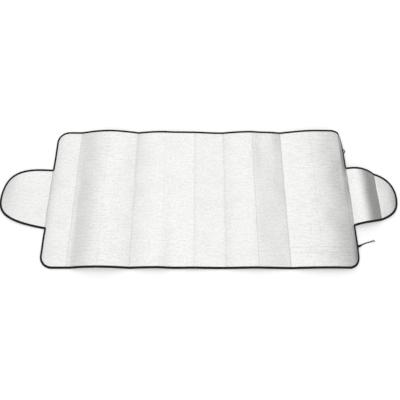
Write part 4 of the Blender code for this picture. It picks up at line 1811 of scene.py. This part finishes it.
@dataclass
class ElasticLoop:
    """A round elastic cord whose two ends are tacked under the binding on the right edge."""

    pattern: CutPattern
    surface: FormedSurface
    route: LoopRoute
    diameter: float = 0.0024
    strand_spacings: tuple[float, ...] = (0.0078, 0.0074, 0.0050)
    neck_spacing: float = 0.0028
    eye_radius: float = 0.0048
    eye_distance: float = 2.3
    eye_tilt: float = math.radians(30)
    eye_degrees: tuple[int, ...] = (125, 75, 25, -25, -75, -125)
    knot_steps: int = 20
    rings: int = 460
    path_step: int = 6
    sides: int = 18
    braid_relief: float = 0.035
    braid_turns: int = 4
    braid_rate: float = 1500.0
    tack_length: float = 0.0046
    tack_thread: float = 0.00045
    tack_count: int = 17
    tack_spread: float = 0.0058
    tack_inset: float = 0.0030
    tack_slant: float = 0.12
    tab_width: float = 0.0112
    tab_thickness: float = 0.0034
    tab_wall: float = 0.0005
    tab_tuck: float = 0.0030
    tab_pinch: float = 0.22
    tab_thinning: float = 0.12
    tab_bend: float = 0.0045
    tab_rub: float = 0.3
    tab_cuts: int = 9

    @property
    def edge(self) -> float:
        """Flat distance of the loop's ends from the panel's middle."""
        return self.pattern.half_length + self.pattern.tape_growth + self.pattern.clearance

    def exit(self) -> tuple[Vector, Vector]:
        """Find where the loop leaves the binding.

        Returns:
            The middle between its two ends and the direction in which they leave.
        """
        clearance = self.pattern.clearance
        ends = self.surface.points(np.array([(self.edge, self.route.row, 0.0),
                                             (self.edge + clearance, self.route.row, 0.0)]))
        return Vector(ends[0]), (Vector(ends[1]) - Vector(ends[0])).normalized()

    def middle(self) -> list[Vector]:
        """Follow the route between the two strands.

        Returns:
            Its points, from the binding to the eye.
        """
        exit_point, outwards = self.exit()
        points = []
        for out, swing, height in self.route.steps:
            if height is None:
                points.append(exit_point + outwards * out)
            else:
                points.append(Vector((exit_point.x + out, exit_point.y + swing, height)))
        return points

    def guide(self) -> list[Vector]:
        """Route both strands.

        Returns:
            Points out along one strand, round the leaning eye and back on the other.
        """
        middle = self.middle()
        spacings = list(self.strand_spacings)
        spacings += [self.neck_spacing] * (len(middle) - len(spacings))
        first, second = [], []
        for index, point in enumerate(middle):
            ahead = middle[min(index + 1, len(middle) - 1)] - middle[max(index - 1, 0)]
            sideways = Vector((-ahead.y, ahead.x, 0)).normalized()
            first.append(point + sideways * spacings[index] / 2)
            second.append(point - sideways * spacings[index] / 2)
        along = (middle[-1] - middle[-2]).normalized()
        sideways = Vector((-along.y, along.x, 0))
        leaning = Vector((0, 0, math.sin(self.eye_tilt)))
        eye = middle[-1] + (along * self.eye_distance + leaning) * self.eye_radius
        across = sideways * math.cos(self.eye_tilt) - leaning
        turn = []
        for degrees in self.eye_degrees:
            angle = math.radians(degrees)
            turn.append(eye + (along * math.cos(angle) + across * math.sin(angle))
                        * self.eye_radius)
        return first + turn + second[::-1]

    def centreline(self) -> np.ndarray:
        """Run a smooth curve through the route.

        Returns:
            Evenly spaced points on it, one row each.
        """
        knots = np.array([tuple(point) for point in self.guide()])
        padded = np.vstack([2 * knots[0] - knots[1], knots, 2 * knots[-1] - knots[-2]])
        share = np.linspace(0, 1, self.knot_steps, endpoint=False)[:, None]
        parts = [0.5 * (2 * b + (c - a) * share + (2 * a - 5 * b + 4 * c - d) * share ** 2
                        + (3 * b - a - 3 * c + d) * share ** 3)
                 for a, b, c, d in zip(padded, padded[1:], padded[2:], padded[3:])]
        fine = np.vstack(parts + [knots[-1:]])
        steps = np.linalg.norm(np.diff(fine, axis=0), axis=1)
        travelled = np.concatenate([[0], np.cumsum(steps)])
        wanted = np.linspace(0, travelled[-1], self.rings)
        return np.stack([np.interp(wanted, travelled, fine[:, axis]) for axis in range(3)],
                        axis=-1)

    def tube(self, middle: np.ndarray) -> Mesh:
        """Wrap the sleeve round the centreline, with a map round and along it.

        Args:
            middle: The centreline's points.

        Returns:
            A closed tube.
        """
        ahead = np.gradient(middle, axis=0)
        ahead /= np.linalg.norm(ahead, axis=1, keepdims=True)
        up = Vector((0, 0, 1))
        frames = []
        for direction in ahead:
            direction = Vector(direction)
            side = direction.cross(up).normalized()
            up = side.cross(direction).normalized()
            frames.append((np.array(side), np.array(up)))
        angles = 2 * math.pi * np.arange(self.sides) / self.sides
        travelled = np.concatenate([[0], np.cumsum(np.linalg.norm(np.diff(middle, axis=0),
                                                                  axis=1))])
        rings = []
        for point, (side, lift), distance in zip(middle, frames, travelled):
            turned = self.braid_turns * angles
            slid = self.braid_rate * distance
            relief = 1 + self.braid_relief * np.sin(turned + slid) * np.sin(turned - slid)
            radius = (self.diameter / 2 * relief)[:, None]
            rings.append(point + radius * (np.cos(angles)[:, None] * side
                                           + np.sin(angles)[:, None] * lift))
        points = np.vstack(rings + [middle[:1], middle[-1:]])
        around = self.sides
        faces = [(ring * around + spot, ring * around + (spot + 1) % around,
                  (ring + 1) * around + (spot + 1) % around, (ring + 1) * around + spot)
                 for ring in range(self.rings - 1) for spot in range(around)]
        start, end = len(points) - 2, len(points) - 1
        last = (self.rings - 1) * around
        faces += [(start, (spot + 1) % around, spot) for spot in range(around)]
        faces += [(end, last + spot, last + (spot + 1) % around) for spot in range(around)]
        mesh = make_mesh(self.route.name, points, faces)
        uv = np.stack([np.tile(angles / (2 * math.pi), self.rings),
                       np.repeat(travelled, around)], axis=-1)
        uv = np.vstack([uv, [[0.5, 0.0], [0.5, travelled[-1]]]])
        self.wrap_uv(mesh, uv)
        return mesh

    @staticmethod
    def wrap_uv(mesh: Mesh, uv: np.ndarray) -> None:
        """Map the tube, with the last strip of each turn closed at 1 and not run back to 0.

        Args:
            mesh: The tube.
            uv: A place on the map for each of its points.
        """
        set_uv(mesh, "sleeve", uv)
        layer = mesh.uv_layers["sleeve"]
        for face in mesh.polygons:
            corners = [layer.data[index] for index in face.loop_indices]
            if max(corner.uv[0] for corner in corners) > 0.75:
                for corner in corners:
                    if corner.uv[0] < 0.25:
                        corner.uv[0] += 1.0

    def build(self, material: Material, tacks: list[Object]) -> Object:
        """Args:
            material: The elastic.
            tacks: The stitches and the tab that hold it; not used.

        Returns:
            The loop, which stands for its CAD solid.
        """
        middle = self.centreline()
        loop = add_piece(self.route.name, self.tube(middle), material)
        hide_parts(self.route.node)
        return loop

    def tack(self, face: Face, material: Material) -> Object:
        """Sew the close stitches that hold the loop's ends, on one face of the binding.

        Args:
            face: The face that they show on.
            material: The thread.

        Returns:
            The stitches as one piece.
        """
        stitch = Stitch(self.tack_length, self.tack_thread, self.tack_thread)
        count = self.tack_count
        rows = self.route.row + np.linspace(-self.tack_spread, self.tack_spread, count)
        place = self.pattern.half_length - self.tack_inset
        places = np.stack([np.full(count, place), rows], axis=-1)
        slant = self.tack_slant * (-1.0) ** np.arange(count)
        along = np.stack([np.ones(count), slant], axis=-1)
        along /= np.linalg.norm(along, axis=1, keepdims=True)
        height = self.pattern.sheet_thickness / 2 + self.pattern.tape_growth
        name = f"{self.route.name}_tack_{face.name.lower()}"
        mesh = sew(stitch, self.surface, places, along, face, height, name)
        return add_piece(name, mesh, material)

    def tab(self, material: Material) -> Object:
        """Fold the tapered tab of tape that the two strands come out of.

        Args:
            material: The tape's finish.

        Returns:
            The tab.
        """
        reach, width, thickness = self.route.tab_reach, self.tab_width, self.tab_thickness
        bpy.ops.object.select_all(action="DESELECT")
        bpy.ops.mesh.primitive_cube_add(size=1.0)
        tab = bpy.context.object
        bpy.ops.object.mode_set(mode="EDIT")
        bpy.ops.mesh.select_all(action="SELECT")
        bpy.ops.transform.resize(value=(reach, width, thickness),
                                 center_override=(0.0, 0.0, 0.0))
        bpy.ops.mesh.subdivide(number_cuts=self.tab_cuts)
        bpy.ops.object.mode_set(mode="OBJECT")
        smooth = tab.modifiers.new("round", "SUBSURF")
        smooth.levels = 1
        smooth.render_levels = 1
        bpy.context.view_layer.objects.active = tab
        bpy.ops.object.modifier_apply(modifier=smooth.name)
        mesh = tab.data
        bpy.data.objects.remove(tab, do_unlink=True)
        mesh.name = f"{self.route.name}_tab"
        for layer in list(mesh.uv_layers):
            mesh.uv_layers.remove(layer)
        local = np.array([tuple(vertex.co) for vertex in mesh.vertices])
        for vertex, place in zip(mesh.vertices, self.along_tab(local, reach)):
            vertex.co = place
        mesh.update()
        uv = np.stack([local[:, 1], local[:, 0] + local[:, 2]], axis=-1) / TAPE_MAP
        set_uv(mesh, "tape", uv)
        set_mask(mesh, "rubbed", np.full(len(local), self.tab_rub))
        return add_piece(mesh.name, mesh, material)

    def along_tab(self, local: np.ndarray, reach: float) -> np.ndarray:
        """Bend the straight tab along the two strands and taper it to them.

        Args:
            local: Its points, with X along it, about its middle.
            reach: Its length.

        Returns:
            The points in the row's frame.
        """
        middle = self.middle()
        spread = [*self.strand_spacings] + [self.neck_spacing] * len(middle)
        walked = np.concatenate([[0], np.cumsum([(b - a).length
                                                 for a, b in zip(middle, middle[1:])])])
        outwards = (middle[1] - middle[0]).normalized()

        def walk(distance: float) -> Vector:
            """Walk out between the strands.

            Args:
                distance: How far from the binding, below 0 for under it.

            Returns:
                The point there.
            """
            point = Vector([float(np.interp(distance, walked, [step[axis] for step in middle]))
                            for axis in range(3)])
            return point + outwards * min(distance, 0.0)

        places = []
        for x, y, z in local:
            share = x / reach + 0.5
            distance = share * reach - self.tab_tuck
            point = walk(distance)
            span = float(np.interp(distance, walked, spread[:len(middle)])) + self.diameter
            along = walk(distance + self.tab_bend) - walk(distance - self.tab_bend)
            along.normalize()
            side = Vector((-along.y, along.x, 0)).normalized()
            lift = along.cross(side).normalized()
            ridge = math.cos(math.pi * y / self.tab_width) ** 2
            bulge = 1 - self.tab_pinch * share * ridge
            places.append(point + side * y / self.tab_width * (span + self.tab_wall * 2)
                          + lift * z * bulge * (1 - self.tab_thinning * share))
        return np.array([tuple(place) for place in places])


NEAR_LOOP = LoopRoute("elastic_near", "elastic_loop_near", -0.2455, 0.0270, (
    (0.000, 0.000, None), (0.004, 0.000, None), (0.012, 0.004, 0.0030),
    (0.022, 0.009, 0.0015), (0.033, 0.0137, 0.0015), (0.045, 0.0178, 0.0015),
    (0.055, 0.0206, 0.0015), (0.065, 0.0231, 0.0015)))
FAR_LOOP = LoopRoute("elastic_far", "elastic_loop_far", 0.2455, 0.0062, (
    (0.000, 0.000, None), (0.0030, 0.000, None), (0.0064, -0.0009, 0.0080),
    (0.0088, -0.0033, 0.0066), (0.0097, -0.0066, 0.0052), (0.0088, -0.0099, 0.0040),
    (0.0064, -0.0124, 0.0030), (0.0030, -0.0136, 0.0022), (-0.004, -0.0142, 0.0015),
    (-0.016, -0.0155, 0.0015), (-0.030, -0.018, 0.0015), (-0.045, -0.022, 0.0015),
    (-0.060, -0.027, 0.0015)))


# The studio
@dataclass(frozen=True)
class Lamp:
    """A soft rectangular lamp that faces a point on the shade."""

    name: str
    place: tuple[float, float, float]
    target: tuple[float, float, float]
    size: tuple[float, float]
    radiance: float

    def light(self) -> None:
        """Hang the lamp."""
        data = bpy.data.lights.new(self.name, "AREA")
        data.shape = "RECTANGLE"
        data.size, data.size_y = self.size
        data.energy = self.radiance * math.pi * self.size[0] * self.size[1]
        lamp = bpy.data.objects.new(self.name, data)
        bpy.context.scene.collection.objects.link(lamp)
        lamp.location = self.place
        aim = Vector(self.target) - Vector(self.place)
        lamp.rotation_euler = aim.to_track_quat("-Z", "Y").to_euler()
        lamp.visible_camera = False


def glowing_material(name: str, level: float) -> Material:
    """A material that glows at an even level and isn't sampled as a lamp.

    Args:
        name: Its name.
        level: Its level, 1 for white.

    Returns:
        The material.
    """
    material = bpy.data.materials.new(name)
    material.use_nodes = True
    material.cycles.emission_sampling = "NONE"
    nodes = Nodes(material.node_tree)
    material.node_tree.nodes.clear()
    output = nodes.add("ShaderNodeOutputMaterial")
    glow = nodes.add("ShaderNodeEmission")
    glow.inputs["Strength"].default_value = level
    nodes.link(glow.outputs[0], output.inputs["Surface"])
    return material


def seen_rays(nodes: Nodes) -> NodeSocket:
    """Pick out the rays that show the background: to the camera, off metal or through glass.

    Args:
        nodes: The maker of a material's nodes.

    Returns:
        1 for such a ray and 0 for any other.
    """
    path = nodes.add("ShaderNodeLightPath")
    return nodes.math("MAXIMUM", path.outputs["Is Camera Ray"],
                      nodes.math("MAXIMUM", path.outputs["Is Glossy Ray"],
                                 path.outputs["Is Transmission Ray"]))


@dataclass(frozen=True)
class GreyCard:
    """A flat grey card beside the shade, upright or laid down, which only the foil reflects."""

    name: str
    low: tuple[float, float, float]
    high: tuple[float, float, float]
    level: float

    def stand(self) -> Object:
        """Set the card between its two corners.

        Returns:
            The card.
        """
        low, high = Vector(self.low), Vector(self.high)
        size = high - low
        upright = size.x < size.z
        bpy.ops.object.select_all(action="DESELECT")
        bpy.ops.mesh.primitive_plane_add(size=1.0, location=(low + high) / 2,
                                         rotation=(0.0, math.pi / 2 if upright else 0.0, 0.0))
        card = bpy.context.object
        card.name = self.name
        card.scale = (size.z if upright else size.x, size.y, 1.0)
        bpy.ops.object.transform_apply(location=True, rotation=True, scale=True)
        card.data.materials.append(glowing_material(self.name, self.level))
        card.visible_camera = False
        card.visible_diffuse = False
        card.visible_transmission = False
        card.visible_shadow = False
        return card


@dataclass
class Studio:
    """Camera, lamps, world, grey cards and floor."""

    camera_place: tuple[float, float, float] = (0.006278, -0.665773, 1.674434)
    camera_elevation: float = 68.890
    camera_roll: float = 0.11582
    camera_lens: float = 33.8706
    floor_colour: Colour = (0.80, 0.80, 0.80)
    floor_glow: float = 0.18
    floor_size: float = 24.0
    floor_drop: float = 0.0002
    lamps: tuple[Lamp, ...] = (
        Lamp("ceiling_panel", (-0.35, 1.2, 2.4), (-0.35, 1.2, 0.0), (3.5, 5.4), 0.22),
    )
    cards: tuple[GreyCard, ...] = (
        GreyCard("right_card", (4.0, -4.0, 0.01), (4.0, 9.0, 4.2), 0.20),
        GreyCard("right_mat", (0.99, -4.0, 0.01), (4.0, 9.0, 0.01), 0.20),
        GreyCard("left_card", (-4.0, -4.0, 0.01), (-4.0, 9.0, 4.4), 0.79),
    )

    def camera(self) -> None:
        """Place the camera where the photograph was taken from."""
        data = bpy.data.cameras.new("camera")
        data.sensor_width = 36.0
        data.sensor_fit = "HORIZONTAL"
        data.lens = self.camera_lens
        data.clip_start = 0.01
        camera = bpy.data.objects.new("camera", data)
        bpy.context.scene.collection.objects.link(camera)
        tilt = math.radians(90 - self.camera_elevation)
        camera.matrix_world = (Matrix.Translation(self.camera_place)
                               @ Matrix.Rotation(tilt, 4, "X")
                               @ Matrix.Rotation(math.radians(self.camera_roll), 4, "Z"))
        bpy.context.scene.camera = camera

    def light(self) -> None:
        """Light the scene with a white world, a faint panel and the grey cards."""
        for lamp in self.lamps:
            lamp.light()
        for card in self.cards:
            card.stand()
        world = bpy.data.worlds.new("studio_air")
        bpy.context.scene.world = world
        world.use_nodes = True
        background = world.node_tree.nodes["Background"]
        background.inputs["Color"].default_value = (1.0, 1.0, 1.0, 1.0)
        background.inputs["Strength"].default_value = 1.0
        settings = bpy.context.scene.view_settings
        settings.view_transform = "Standard"

    def floor(self) -> Object:
        """Lay a plain white floor that keeps the shade's shadow.

        Returns:
            The floor.
        """
        bpy.ops.object.select_all(action="DESELECT")
        bpy.ops.mesh.primitive_plane_add(size=self.floor_size,
                                         location=(0.0, 0.0, -self.floor_drop))
        floor = bpy.context.object
        floor.name = "floor"
        bpy.ops.object.transform_apply(location=True, rotation=True, scale=True)
        material = glowing_material("white_floor", 0.0)
        nodes = Nodes(material.node_tree)
        glow = material.node_tree.nodes["Emission"]
        nodes.link(nodes.math("MULTIPLY", seen_rays(nodes), self.floor_glow),
                   glow.inputs["Strength"])
        matte = nodes.add("ShaderNodeBsdfDiffuse")
        matte.inputs["Color"].default_value = (*self.floor_colour, 1.0)
        lit = nodes.add("ShaderNodeAddShader")
        nodes.link(matte.outputs[0], lit.inputs[0])
        nodes.link(glow.outputs[0], lit.inputs[1])
        nodes.link(lit.outputs[0], material.node_tree.nodes["Material Output"].inputs["Surface"])
        floor.data.materials.append(material)
        return floor


def main() -> None:
    """Build the shade and its studio, in order."""
    logging.basicConfig(level=logging.INFO, format="%(name)s: %(message)s")
    studio = Studio()
    studio.camera()
    studio.light()
    pattern = CutPattern()
    surface = FormedSurface(pattern, Ripples())
    path = EdgePath(pattern)
    binding = EdgeBinding(pattern, surface, path)
    surface.settle(binding.extremes())

    effects = Effects()
    foil = FoilFinish().material(effects)
    tape = TapeFinish().material(effects)
    thread = ThreadFinish().material(effects)
    elastic = ElasticFinish().material(effects)

    for route in (NEAR_LOOP, FAR_LOOP):
        loop = ElasticLoop(pattern, surface, route)
        tacks = [loop.tack(face, thread) for face in Face]
        tacks.append(loop.tab(tape))
        LOG.info("laid %s", loop.build(elastic, tacks).name)
    sheet = FoilSheet(pattern, surface).build(foil)
    LOG.info("formed %s, %d faces", sheet.name, len(sheet.data.polygons))
    tape_piece = binding.build(tape)
    LOG.info("bound with %s, %d faces", tape_piece.name, len(tape_piece.data.polygons))
    seams = [Seam(binding).build(face, thread) for face in Face]
    LOG.info("sewed %s", ", ".join(seam.name for seam in seams))
    pattern.cut_area()
    LOG.info("sheet laid flat covers %.3f square metres", pattern.cut_area())
    studio.floor()


if __name__ == "__main__":
    main()
